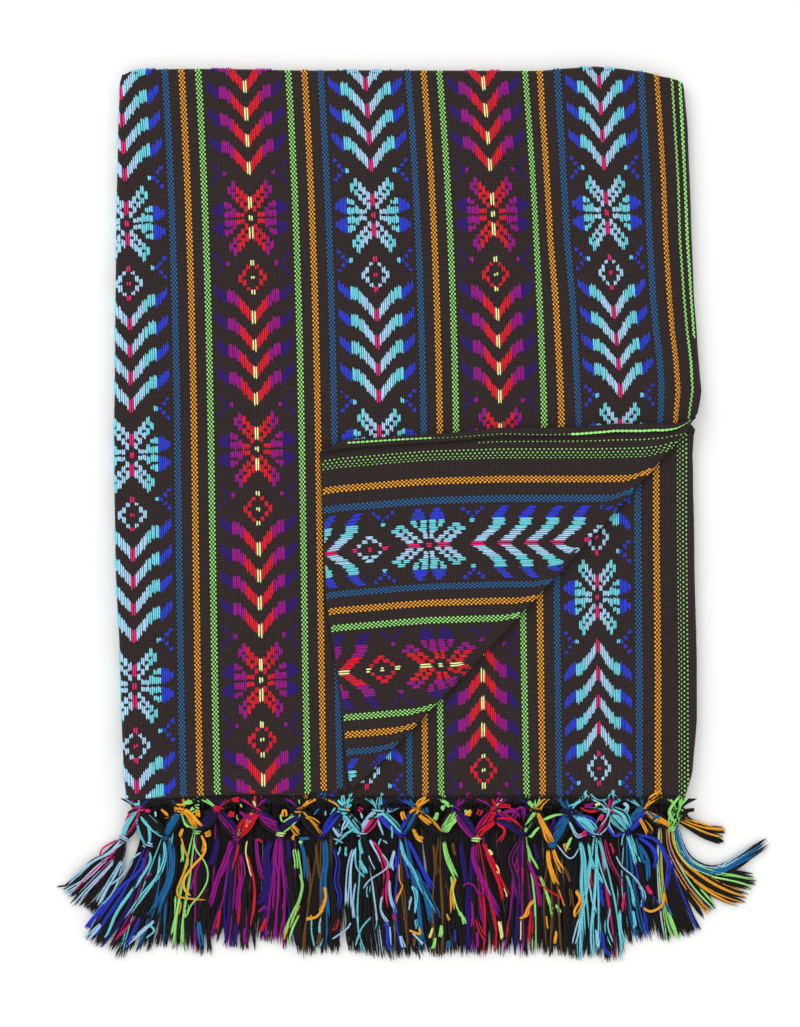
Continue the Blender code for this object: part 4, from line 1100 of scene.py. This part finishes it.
    (13, "r", 2.5, ((125.1, -282.9), (127.7, -300.9))),
    (13, "t", 2.5, ((142.3, -278.7), (145.5, -287.7), (148.9, -300.9))),
    (13, "t", 2.5, ((131.7, -300.4), (129.6, -313.2), (135.1, -328.5))),
    (13, "t", 2.5, ((138.3, -301.5), (138.1, -315.3), (141.5, -326.4))),
    (13, "l", 2.4, ((112.8, -306.3), (108.6, -325.4))),
    (13, "r", 3, ((126.6, -314.7), (128.7, -327), (134.1, -332.3))), (13, "l", 2, ((122.7, -314.2), (124.3, -327))),
    (14, "t", 2.5, ((141.3, -252.4), (139.1, -260.6))),
    (14, "t", 3, ((142.5, -253.2), (146.6, -264.3), (150, -273.4))),
    (14, "t", 2, ((145.5, -253.2), (148.7, -262.2), (150, -271.2))),
    (14, "b", 2.5, ((148.7, -255.3), (152.1, -266.5), (154.2, -272.3))),
    (14, "r", 3.2, ((147.6, -252.4), (161.7, -257.1), (169.1, -270.7), (169.1, -277.1), (167.3, -289.8))),
    (14, "r", 2.5, ((149.8, -254.6), (158.5, -261.1), (161.7, -268.6), (159.3, -276.5))),
    (14, "b", 3, ((149.8, -258.5), (155.3, -269.6), (156.3, -285))),
    (14, "t", 3, ((148.7, -283.4), (153.2, -291.9), (152.1, -300.9))),
    (14, "p", 2.4, ((155.4, -286.1), (158.5, -292.5))), (14, "t", 3, ((146.6, -302.5), (148.7, -315.3))),
    (14, "b", 2, ((167, -296.2), (171.2, -307.3))),
    (14, "g", 3.2, ((168.9, -302.5), (173.1, -314.2), (175.4, -321.1))),
    (14, "r", 2, ((159.3, -293), (165.9, -303.1))),
)
# short locks and loops round both rows of knots
headingLocks = (
    ("p", 2, ((-166.7, -237.3), (-162.6, -237.4))), ("l", 2, ((-159.8, -237.6), (-159.7, -241.5))),
    ("o", 1.8, ((-156.1, -235.9), (-151, -241.2))), ("t", 1.8, ((-173.6, -232.9), (-169.3, -233.1))),
    ("o", 3, ((-146.5, -232.7), (-139.6, -232.5))), ("g", 2, ((-142.3, -232), (-135.4, -231.4))),
    ("g", 3, ((-134.6, -234.6), (-131.1, -233.6))), ("g", 3.5, ((-137.5, -238), (-134.3, -235.9))),
    ("o", 3, ((-132.5, -236.2), (-133.2, -241.8))), ("o", 6, ((-141.7, -236.5), (-137, -241), (-131.4, -249.3))),
    ("g", 2, ((-142.8, -239.7), (-140.1, -246.3), (-135.7, -249))), ("o", 2, ((-142.5, -248.9), (-144.6, -255))),
    ("o", 4, ((-128.7, -253), (-123.8, -252.1))), ("R", 4.5, ((-122.6, -234.8), (-117.8, -236.9))),
    ("R", 4.5, ((-110.6, -237.6), (-112, -242))), ("m", 3.5, ((-119.1, -239.7), (-109.1, -252.4))),
    ("g", 1.5, ((-107.4, -239.7), (-106.4, -243.6))), ("y", 1.5, ((-105.3, -232.7), (-103.8, -235))),
    ("m", 2, ((-106.2, -237.8), (-98.2, -243.1))), ("R", 6.5, ((-94.3, -239.4), (-101.9, -245.2), (-107, -254.6))),
    ("y", 1.8, ((-98.5, -242.9), (-104.1, -249))), ("m", 4, ((-92.6, -241.2), (-81.3, -247.1))),
    ("R", 4.5, ((-110.9, -229.9), (-105.7, -229.3))), ("R", 4, ((-96.4, -231), (-96.6, -227))),
    ("R", 3, ((-95.3, -255.8), (-91.3, -255.9))), ("o", 4.5, ((-77.5, -236.3), (-76.9, -241.4))),
    ("g", 1.5, ((-79.6, -239.7), (-78.4, -245.4))), ("g", 2, ((-78.8, -245), (-70.9, -239.7))),
    ("i", 5, ((-67.8, -241.2), (-77.7, -246.1))), ("o", 2, ((-70.9, -237.6), (-66.1, -237.6))),
    ("o", 3, ((-63.9, -241.3), (-59.5, -243.1), (-54.4, -246.9))), ("o", 4.6, ((-73.1, -246.9), (-67.5, -252.7))),
    ("o", 2, ((-70.6, -252.7), (-72.2, -257.1))), ("b", 2, ((-68.2, -255.8), (-60.3, -255.3))),
    ("g", 2, ((-68.2, -257.4), (-65.4, -258.2))), ("b", 1.5, ((-58.9, -240.1), (-54.4, -235.5))),
    ("l", 1.5, ((-50.9, -237.3), (-50.4, -240.5))), ("t", 2, ((-43.2, -230.2), (-38.7, -234.4))),
    ("t", 2, ((-35.3, -229.1), (-38.2, -234.4))), ("t", 3, ((-39.6, -226.8), (-38.7, -233.8))),
    ("t", 1.5, ((-34, -233.3), (-38.2, -235.3))), ("p", 3, ((-30, -235.5), (-26.6, -237.6))),
    ("l", 2, ((-28.3, -238.6), (-26.8, -242.3))), ("t", 4, ((-16.4, -228.2), (-16.4, -233.6))),
    ("l", 1.4, ((-10.9, -235.5), (-10.3, -238.2))), ("l", 1.4, ((-8.8, -235.5), (-7.9, -238.2))),
    ("b", 5, ((12.8, -235.3), (14.4, -239.1))), ("o", 4, ((-1.8, -237.6), (0.2, -244))),
    ("o", 3.4, ((5, -249.3), (8, -254.8), (12, -257.1))), ("o", 3, ((8.8, -239.7), (17.3, -247.3))),
    ("g", 3.5, ((22.9, -234.8), (25.5, -235.9))), ("g", 3.5, ((20.9, -238.2), (19, -244.4))),
    ("g", 6, ((32.8, -242.3), (24.1, -250.3))), ("o", 3.5, ((42.2, -236.7), (39.6, -241.2))),
    ("g", 1.5, ((37.9, -237.6), (40.1, -237.8))), ("l", 1.2, ((-41.7, -245.8), (-41.9, -252.9))),
    ("l", 1.2, ((-37.4, -242.9), (-41, -250.5))), ("l", 1.2, ((-46.3, -248.2), (-41.5, -255.3))),
    ("t", 1.2, ((-32.1, -248.8), (-40.2, -254.1))), ("t", 1.2, ((-46.1, -255.6), (-39.3, -258.2))),
    ("l", 1.2, ((-35.1, -242.7), (-40.2, -250.7))), ("t", 1.5, ((-41.4, -260.6), (-41.9, -267))),
    ("t", 1.5, ((-38.1, -260.6), (-38.3, -267.7))), ("t", 1.5, ((-15.1, -255.6), (-17.7, -260.6))),
    ("l", 1.5, ((-14.3, -256.7), (-10.7, -258.2))), ("l", 1.5, ((-17.7, -242.7), (-14.7, -254.1))),
    ("t", 1.2, ((-9, -246.8), (-7.3, -255.8))), ("R", 4.5, ((47, -240.3), (48.5, -236.3))),
    ("R", 4.5, ((54.2, -237.8), (59, -237.8))), ("m", 3.4, ((58, -231.9), (61.2, -230.2))),
    ("m", 1.8, ((66.8, -243.5), (72.3, -235.7), (76.2, -236.5), (74.9, -245.8))),
    ("m", 1.8, ((69.1, -244.2), (72.3, -238.3), (73.6, -243.1))),
    ("R", 1.6, ((58.3, -242.5), (68, -242.9), (74.8, -247.8))),
    ("i", 4.6, ((57.2, -243.1), (68, -247.1), (74.6, -251.8))), ("m", 3, ((62.7, -237.8), (72.3, -236.7))),
    ("R", 3, ((59.5, -234.1), (69.1, -234.6))), ("R", 5.5, ((57.6, -244), (46.6, -251.4))),
    ("R", 2, ((58.5, -245), (64, -250.5), (58.5, -259.4))), ("g", 4.4, ((83.2, -241.2), (76.7, -249.9))),
    ("g", 2, ((86.3, -248), (79.3, -255.2))), ("g", 1.8, ((88, -243.8), (95.6, -240.5), (101.8, -239.9))),
    ("o", 3.6, ((90.5, -229.8), (84.8, -235.9))), ("o", 5, ((85.9, -241.6), (94.4, -259))),
    ("b", 6, ((104.3, -241.6), (94.8, -254.1))), ("i", 3, ((95.8, -241.6), (94.6, -252))),
    ("l", 2, ((105, -243.7), (110.5, -253.7), (115.2, -252.4))),
    ("t", 4, ((109.2, -241.6), (117.9, -245.2), (123.4, -251.8))),
    ("r", 2, ((106, -239.9), (117.9, -241), (122.6, -247.6))), ("p", 2.2, ((112.2, -253.9), (117.3, -251.6))),
    ("l", 1.5, ((124.3, -248.6), (129.6, -239.9), (130.9, -234.4))),
    ("t", 5.5, ((132.6, -235.3), (140.2, -239.9), (144.7, -249.9))), ("l", 1.5, ((130.4, -245.9), (134.1, -254.1))),
    ("r", 2, ((129.4, -247.1), (134.9, -253.7), (140.4, -250.5))), ("g", 3, ((107.3, -254.4), (103.9, -264.8))),
    ("o", 2.5, ((101.8, -258.8), (105.4, -263.7))), ("l", 1.5, ((97.5, -259.4), (106.2, -268.2), (112.8, -258.8))),
    ("m", 3.5, ((114.5, -234.2), (121.5, -234))), ("R", 2.4, ((111.8, -235), (117.9, -237.4), (126.8, -236.1))),
    ("p", 2.5, ((124.5, -243.7), (127.5, -239.7))), ("y", 2, ((121.6, -233.8), (125.1, -232.5))),
    ("l", 2.8, ((139.4, -232.1), (142.3, -234.6), (140.6, -239.1))), ("o", 5.5, ((151, -241.6), (158, -253.1))),
    ("b", 5, ((152.1, -234.4), (144.7, -244.6))), ("r", 4, ((153.4, -237.4), (145.5, -248.8))),
    ("o", 2.6, ((163.8, -223.8), (160.4, -227.2), (154.6, -230.8))),
    ("g", 1.8, ((176.1, -227.2), (169.3, -236.5), (171, -242.3), (175.2, -244.4))),
    ("g", 1.8, ((177.4, -228.2), (175.9, -235.7), (174, -241), (175.4, -244.4))),
    ("g", 1.5, ((159.3, -244.4), (161.7, -241.8))), ("b", 1.4, ((154.9, -237.4), (159.3, -240.8), (164.2, -242.3))),
    ("b", 1.6, ((99, -228.2), (100.9, -233.8), (103.9, -235.9))), ("g", 2.4, ((23.9, -230.4), (28.8, -233.8))),
    ("g", 2.4, ((78.7, -231), (83.1, -235.3))), ("o", 2.6, ((13.5, -228.2), (6.9, -234.6))),
    ("b", 2, ((1.6, -231.4), (5.9, -234.6))), ("g", 2.4, ((22.9, -230.4), (29.9, -234.6))),
)
# single yarns that lie loose on top: cone, height, the points that each passes through
looseYarns = (
    ("o", 6.6, ((-144, -254.7), (-142.1, -262.4), (-139.5, -270.7), (-144, -281.6), (-146.6, -289.9),
                (-143.4, -293.8), (-128, -295.7))),
    ("o", 7.2, ((-130.6, -253.4), (-128, -259.8), (-129.3, -266.2), (-136.3, -273.9), (-141.4, -281.6),
                (-141.4, -288), (-137.6, -292.5))),
    ("g", 6.8, ((-135.7, -254.7), (-134.4, -262.4), (-128, -272), (-126.7, -281.6), (-131.2, -291.2),
                (-137.6, -298.9), (-140.2, -305.9))),
    ("l", 6.4, ((-15, -265.6), (-11.3, -271.4), (-13.4, -275.8), (-23, -282.2), (-27.2, -288))),
    ("l", 5.2, ((-35.2, -309.8), (-38.4, -314.2), (-47.4, -320.6))),
    ("o", 6.0, ((-51.8, -286.7), (-51.2, -295), (-55.7, -305), (-63.4, -308.2))),
    ("o", 5.6, ((2.6, -314.9), (9.6, -317.2), (9, -312.3))),
    ("m", 6.0, ((37.1, -286.7), (40.3, -284.5), (44.8, -286.7), (47.1, -291.2), (50.4, -290.2), (51.2, -285.4))),
    ("o", 5.8, ((82.6, -296.3), (79, -300.6), (76.8, -305.7), (73.6, -307.6))),
    ("R", 6.2, ((85, -283.5), (90.7, -287.4), (96.6, -291.1), (102.4, -294.4))),
    ("o", 6.0, ((109.8, -289.6), (112.4, -295.5), (109.1, -302.1), (109.4, -306.6))),
    ("o", 5.6, ((166.4, -291.2), (165.8, -297.6), (161.9, -301.4), (157.2, -302.7), (152.3, -300.2))),
    ("g", 6.2, ((-68.5, -262.4), (-65.9, -281.6), (-67.2, -294.4), (-73.6, -313.6))),
    ("k", 2.6, ((-188.8, -265.6), (-201.6, -270), (-214.4, -284.2), (-224.6, -287.4))),
    ("k", 2.2, ((-192.6, -267.5), (-204.8, -275.2), (-219.5, -286.7))),
    ("p", 2.8, ((-185, -257.3), (-193.9, -262.4), (-195.8, -267.5), (-192, -271.4))),
    ("t", 11.6, ((104.3, -234.2), (112, -231.7), (116.5, -227.2))),
    ("t", 11.6, ((118.4, -226.6), (122.9, -230.4), (128.6, -230.4), (133.1, -225.9))),
    ("l", 6.8, ((-46.7, -247.7), (-43, -251), (-41, -254.7))),
    ("l", 6.9, ((-39.7, -247), (-40.6, -251), (-41, -254))),
    ("l", 7.0, ((-33.3, -249), (-37, -251.5), (-41, -254.7))),
    ("t", 6.8, ((-44.5, -259.5), (-42, -257), (-36.5, -253))),
    ("r", 5.0, ((148.2, -252.8), (158, -255.2), (166.1, -263.3), (169, -274.6), (167.7, -289.3))),
)


def withBlack(word, share):
    # plain black locks slipped in among the others
    return "".join(letter + ("k" if rng.random() < share else "") for letter in word)


def dyesOf(word, each):
    dyes = np.repeat(np.array([linear(coneLetters[letter]) for letter in word]), each, axis=0)
    return dyes * (1 + fringe["shade"] * np.clip(rng.normal(0, 1, (len(dyes), 1)), -1.8, 1.8))


def smoothLine(points, t):
    # a Catmull-Rom curve: it passes through every point, heading from the point before towards the one after
    points = np.asarray(points, dtype=float)
    padded = np.concatenate([[2 * points[0] - points[1]], points, [2 * points[-1] - points[-2]]])
    run = np.clip(t, 0, 1) * (len(points) - 1)
    index = np.minimum(run.astype(int), len(points) - 2)
    part = (run - index)[..., None]
    a, b, c, d = (padded[index + step_] for step_ in range(4))
    return 0.5 * (2 * b + (c - a) * part + (2 * a - 5 * b + 4 * c - d) * part ** 2
                  + (3 * b - a - 3 * c + d) * part ** 3)


def tubes(paths, radii, dyes, sides=4):
    # a ring carried along each path: the ring's frame is turned only as much as the path turns
    count, stations = paths.shape[:2]
    ahead = unit(np.gradient(paths, axis=1))
    side = unit(np.cross(ahead[:, 0], np.array((0.21, 0.13, 0.97))))
    angle = np.linspace(0, 2 * np.pi, sides, endpoint=False)
    rings = np.zeros((count, stations, sides, 3))
    for station in range(stations):
        side = unit(side - ahead[:, station] * np.sum(side * ahead[:, station], axis=1, keepdims=True))
        other = np.cross(ahead[:, station], side)
        turnedRing = side[:, None] * np.cos(angle)[None, :, None] + other[:, None] * np.sin(angle)[None, :, None]
        rings[:, station] = paths[:, station, None] + turnedRing * radii[:, station, None, None]
    index = np.arange(count * stations * sides).reshape(count, stations, sides)
    after = np.roll(index, -1, axis=2)
    quads = np.stack([index[:, :-1], after[:, :-1], after[:, 1:], index[:, 1:]], axis=-1).reshape(-1, 4)
    return rings.reshape(-1, 3), quads, np.repeat(dyes, stations * sides, axis=0)


def roundEnds(count, stations, radius):
    radii = np.full((count, stations), 1.0) * np.reshape(radius, (-1, 1))
    radii[:, 0] *= 0.1
    radii[:, -1] *= 0.1
    radii[:, -2] *= 0.85
    return radii


def layYarns(line, widths, belly, word, each, sway, ragged, thick, slant=0.0, stations=13, late=0.0):
    # yarns side by side on a smooth line: sideways by a share of a width that grows from end to end with a belly
    # between, plus the sway of the lock and a little of the yarn's own; coloured locks lie higher than black ones
    locks, count = len(word), len(word) * each
    lock = np.repeat(np.arange(locks), each)
    share = (np.arange(count) + 0.5 + rng.normal(0, 0.35, count)) / count - 0.5
    cut = 1 - np.abs(rng.normal(0, ragged, locks))[lock] - np.abs(rng.normal(0, ragged / 2, count))
    begin = np.abs(rng.normal(0, late, count)) if late else np.zeros(count)
    t = begin[:, None] + np.linspace(0, 1, stations)[None, :] * (cut - begin)[:, None]
    centre = smoothLine(line, t)
    ahead = unit(np.gradient(centre, axis=1) * (1, 1, 0))
    side = np.stack([-ahead[..., 1], ahead[..., 0], 0 * ahead[..., 0]], axis=-1)
    wide = widths[0] + (widths[1] - widths[0]) * t + belly * np.sin(np.pi * t)
    lockTurn, lockStart = rng.uniform(2.5, 6.5, locks)[lock, None], rng.uniform(0, 6.3, locks)[lock, None]
    ownTurn, ownStart = rng.uniform(4, 10, (count, 1)), rng.uniform(0, 6.3, (count, 1))
    swing = np.sin(lockTurn * t + lockStart) + 0.4 * np.sin(ownTurn * t + ownStart)
    offset = share[:, None] * wide + sway * swing * t ** 1.2
    bright = np.array([letter != "k" for letter in word])[lock]
    level = np.where(bright, 0.35 + 0.65 * rng.random(count), 0.95 * rng.random(count)) - 0.5
    girth = thick[0] * np.sqrt(np.clip(1 - (1.8 * share) ** 2, 0.1, 1))[:, None] * (1 - t) + thick[1] * t
    path = centre + side * offset[..., None] + ahead * (slant * share[:, None] * t ** 2)[..., None]
    path[..., 2] = np.maximum(path[..., 2] + level[:, None] * girth, fringe["yarnRadius"] + 0.1)
    return tubes(path, roundEnds(count, stations, fringe["yarnRadius"]), dyesOf(word, each))


def joinTubes(name, groups):
    points, quads, dyes, offset = [], [], [], 0
    for p, q, d in groups:
        points.append(p)
        quads.append(q + offset)
        dyes.append(d)
        offset += len(p)
    made = addMesh(name, np.concatenate(points), np.concatenate(quads), fringeYarn)
    addDye(made.data, np.concatenate(dyes))
    made.data.shade_smooth()
    return made


def wrapKnot(centre, along, size, word, turns, yarn):
    # a coil round an egg: its axis lies along the bundle, and each yarn of it is a turn behind the last
    dyes = dyesOf(word, 2)
    stations = 14 * turns
    t = np.linspace(0, 1, stations)
    count = len(dyes)
    phase = np.arange(count)[:, None] / count * 2 * np.pi
    angle = t[None, :] * turns * 2 * np.pi + phase
    axial = (t[None, :] - 0.5) * 2 * size[1] * 0.8 + (np.arange(count)[:, None] - (count - 1) / 2) * yarn * 0.8
    girth = np.sqrt(np.clip(1 - (axial / (size[1] * 1.25)) ** 2, 0.15, 1))
    along = np.asarray(along) / np.linalg.norm(along)
    across = unit(np.cross(along, (0, 0, 1.0)))
    up = np.cross(across, along)
    path = (centre + along * axial[..., None]
            + across * (size[0] * girth * np.cos(angle))[..., None]
            + up * (size[2] * girth * np.sin(angle))[..., None])
    return tubes(path, roundEnds(count, stations, yarn), dyes)


def addHeading():
    # the woven end drawn into its first row of knots: short warps that run together, then a wrapped knot
    # plain warps cover the woven end from side to side
    line = ((2.0, -226.5, 11.4), (2.0, -231.5, 11.2), (2.0, -236.0, 7.0), (2.0, -248.0, 4.4))
    groups = [layYarns(line, (352.0, 346.0), 0.0, "k" * 76, 4, 0.9, 0.1, (0.8, 1.6), stations=9, late=0.09)]
    for place, fan, wrap in zip(firstKnots, firstFans, firstWraps):
        knotY = firstKnotY + np.clip(rng.normal(0, 0.9), -1.4, 1.4)
        line = ((place, stack["wovenEnd"] + 3.4, 11.0), (place, stack["wovenEnd"] + 0.2, 11.3),
                (place, knotY + 0.4, firstKnotZ + 0.9))
        groups.append(layYarns(line, (25.0, 3.4), -3.0, withBlack(fan, 0.9), 3, 0.4, 0.0, (0.5, 2.4), stations=8))
        groups.append(wrapKnot(np.array((place, knotY - 0.2, firstKnotZ)), (rng.normal(0, 0.25), -1, 0),
                               (4.0, 2.7, 2.4), wrap, 2, 0.7))
        # short ends and slack turns that stand out round the knot
        for letter in fan + "kkkkkk":
            reach = rng.normal(0, 1, (3, 2)) * ((2.0, 1.4), (4.6, 2.4), (7.0, 4.0))
            spots = np.array((place, knotY)) + np.array(((0, 0.5), (0, -0.5), (0, -4.0))) + reach
            heights = firstKnotZ + np.array((1.6, 2.0, -1.5)) * rng.uniform(0.4, 1.2)
            letter = "k" if rng.random() < 0.68 else letter
            groups.append(layYarns(np.column_stack([spots, heights]), (0.5, 1.1), 0.0, letter, 3, 0.3, 0.1,
                                   (0.5, 0.5), stations=6))
    for letter, width, points in headingLocks:
        heights = np.interp([point[1] for point in points], (-262, -245, -237, -231, -225), (6.6, 9.4, 11.6, 12.4, 12.2))
        groups.append(layLock(letter, width, points, heights, 10))
    made = joinTubes("fringeHeading", groups)
    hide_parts("fringe_heading")
    return made


def layLock(letter, width, points, heights, stations):
    # one lock of a single cone through its points, with a black yarn here and there, frayed at both ends
    line = [(*point, z) for point, z in zip(points, heights)]
    count = max(2, int(round(width / 0.7)))
    word = "".join("k" if place and rng.random() < 0.38 else letter for place in range(count))
    return layYarns(line, (0.4 * width, 0.9 * width), 0.1 * width, word, 1, 0.6, 0.08, (1.6, 1.2),
                    stations=stations, late=0.03)


def halfBundle(feed, number, word):
    # from a knot of the first row down to a tassel's: pinched at both, loose between
    source = np.array((firstKnots[feed], firstKnotY - 1.2, firstKnotZ))
    knot = np.array((*tassels[number][0], fringe["knotZ"]))
    middle = (source + knot) / 2 + np.array((0, 0, 1.6))
    word = withBlack(word, fringe["bundleBlack"])
    return layYarns((source, middle, knot), (3.4, 3.0), 4.6, word, fringe["bundleLock"], 0.5, 0.0, (3.4, 3.2),
                    stations=9)


def addTassel(number, row):
    # half bundles down to a wrapped knot, and locks that open from it and settle on the floor
    groups = [halfBundle(feed, there, word) for feed, there, word in halfBundles if there == number]
    knot = np.array((*row[0], fringe["knotZ"]))
    tips = np.array(row[1:3]) - (0, 2.5)
    middleTip = tips.mean(axis=0)
    down = np.array((*(middleTip - knot[:2]), 0.0))
    down[0] *= 0.5
    groups.append(wrapKnot(knot, down, (3.0, 2.0, 2.4), row[3], 2, 0.62))
    if row[4]:
        root = knot + unit(down) * 1.0
        length = np.linalg.norm(middleTip - root[:2])
        bend = root[:2] + unit(down)[:2] * 0.5 * length
        bend = bend + (middleTip - bend) * 0.15
        half_ = 0.25 * root[:2] + 0.5 * bend + 0.25 * middleTip
        line = (root, (*half_, 3.6), (*middleTip, 2.4))
        heading_ = unit(middleTip - half_)
        slant = np.dot(tips[1] - tips[0], heading_)
        groups.append(layYarns(line, (4.6, 1.1 * np.linalg.norm(tips[1] - tips[0])), 4.0, row[4],
                               fringe["tasselLock"], 2.2, 0.05, (4.0, 3.0), slant, fringe["stations"]))
        for _, letter, width, points in (lock for lock in tasselLocks if lock[0] == number):
            share = (knot[1] - np.array([point[1] for point in points])) / (knot[1] - middleTip[1])
            groups.append(layLock(letter, width, points, 5.9 - 2.1 * np.clip(share, 0, 1), 16))
    else:
        for points, start, end, word in openFans:
            heights = np.linspace(fringe["knotZ"], 2.2, len(points))
            line = [(*point, z) for point, z in zip(points, heights)]
            groups.append(layYarns(line, (start, end), 0.5, withBlack(word, fringe["tasselBlack"]),
                                   fringe["tasselLock"], 1.0, 0.05, (3.0, 2.4), stations=13))
    made = joinTubes(f"tasselYarns{number + 1:02d}", groups)
    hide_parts(f"tassel_{number + 1:02d}")
    return made


def addUnderFringe():
    # the fringe of the layers below, mostly black, and single yarns that lie loose on top of it all
    knots = np.array([row[0] for row in tassels[:15]])
    tips = np.array([np.mean(row[1:3], axis=0) for row in tassels[:15]])
    groups = []
    for x in np.arange(-163.0, 172.0, fringe["skirtPitch"]):
        nearest = tassels[int(np.argmin(np.abs(knots[:, 0] - x)))][4]
        word = "".join("k" if rng.random() < fringe["skirtPlain"] else nearest[rng.integers(len(nearest))]
                       for _ in range(7))
        tipX = x + np.interp(x, knots[:, 0], tips[:, 0] - knots[:, 0]) + rng.normal(0, 2.5)
        tipY = np.interp(x, knots[:, 0], tips[:, 1]) + 5 + rng.normal(0, 4.0)
        line = ((x, -228.5, 2.6), (x + 0.1 * (tipX - x), -258.0, 2.4), (tipX, tipY, 1.6))
        groups.append(layYarns(line, (9.0, 10.0), -1.5, word, fringe["skirtLock"], 1.3, 0.03, (3.0, 1.6), stations=8))
    for letter, z, points in looseYarns:
        line = [(*point, z) for point in points]
        line[-1] = (*points[-1], max(z - 1.2, 1.0))
        groups.append(layYarns(line, (0.8, 0.8), 0.0, letter, 2 if letter in "or" else 1, 0.0, 0.0, (0.3, 0.3),
                               stations=24))
    return joinTubes("underFringe", groups)


heading = addHeading()
tasselPieces = [addTassel(number, row) for number, row in enumerate(tassels)]
underFringe = addUnderFringe()
print("fringe is knotted:", sum(len(o.data.polygons) for o in [heading, underFringe, *tasselPieces]), "faces")


# Plain pale floor and soft studio light
studio = {"floorSize": 4.0, "keyPower": 10.0, "fillPower": 4.0, "world": 0.86}
mesh = bpy.data.meshes.new("studioFloor")
r = studio["floorSize"] / 2
mesh.from_pydata([(-r, -r, 0), (r, -r, 0), (r, r, 0), (-r, r, 0)], [], [(0, 1, 2, 3)])
floor = bpy.data.objects.new("studioFloor", mesh)
bpy.context.collection.objects.link(floor)
paper, _, _ = startMaterial("mattPaper", {"Base Color": (*linear("floor"), 1), "Roughness": 0.9})
mesh.materials.append(paper)


def addLight(name, place, target, size, power):
    light = bpy.data.lights.new(name, "AREA")
    light.shape = "RECTANGLE"
    light.size, light.size_y = size
    light.energy = power
    made = bpy.data.objects.new(name, light)
    made.location = place
    away = np.array(place) - np.array(target)
    made.rotation_euler = Vector(away.tolist()).to_track_quat("Z", "Y").to_euler()
    bpy.context.collection.objects.link(made)
    return made


addLight("keySoftbox", (-0.9, 0.9, 1.5), (0, 0, 0), (1.2, 1.2), studio["keyPower"])
addLight("fillSoftbox", (1.2, -0.4, 1.4), (0, 0, 0), (1.4, 1.4), studio["fillPower"])
world = bpy.data.worlds.new("studioAir")
world.use_nodes = True
world.node_tree.nodes["Background"].inputs["Color"].default_value = (1, 1, 1, 1)
world.node_tree.nodes["Background"].inputs["Strength"].default_value = studio["world"]
bpy.context.scene.world = world

# The camera looks straight down, with the whole photograph's frame: 657.3 mm of the floor from top to bottom
view = {"x": -3.2, "y": -47.0, "tall": 657.3, "lens": 85.0, "sensor": 36.0, "level": 12.0}
camera = bpy.data.cameras.new("photoCamera")
camera.lens, camera.sensor_width = view["lens"], view["sensor"]
cameraObject = bpy.data.objects.new("photoCamera", camera)
distance = view["tall"] * view["lens"] / view["sensor"]
cameraObject.location = (view["x"] * mm, view["y"] * mm, (distance + view["level"]) * mm)
bpy.context.collection.objects.link(cameraObject)
bpy.context.scene.camera = cameraObject
bpy.context.scene.view_settings.view_transform = "Standard"
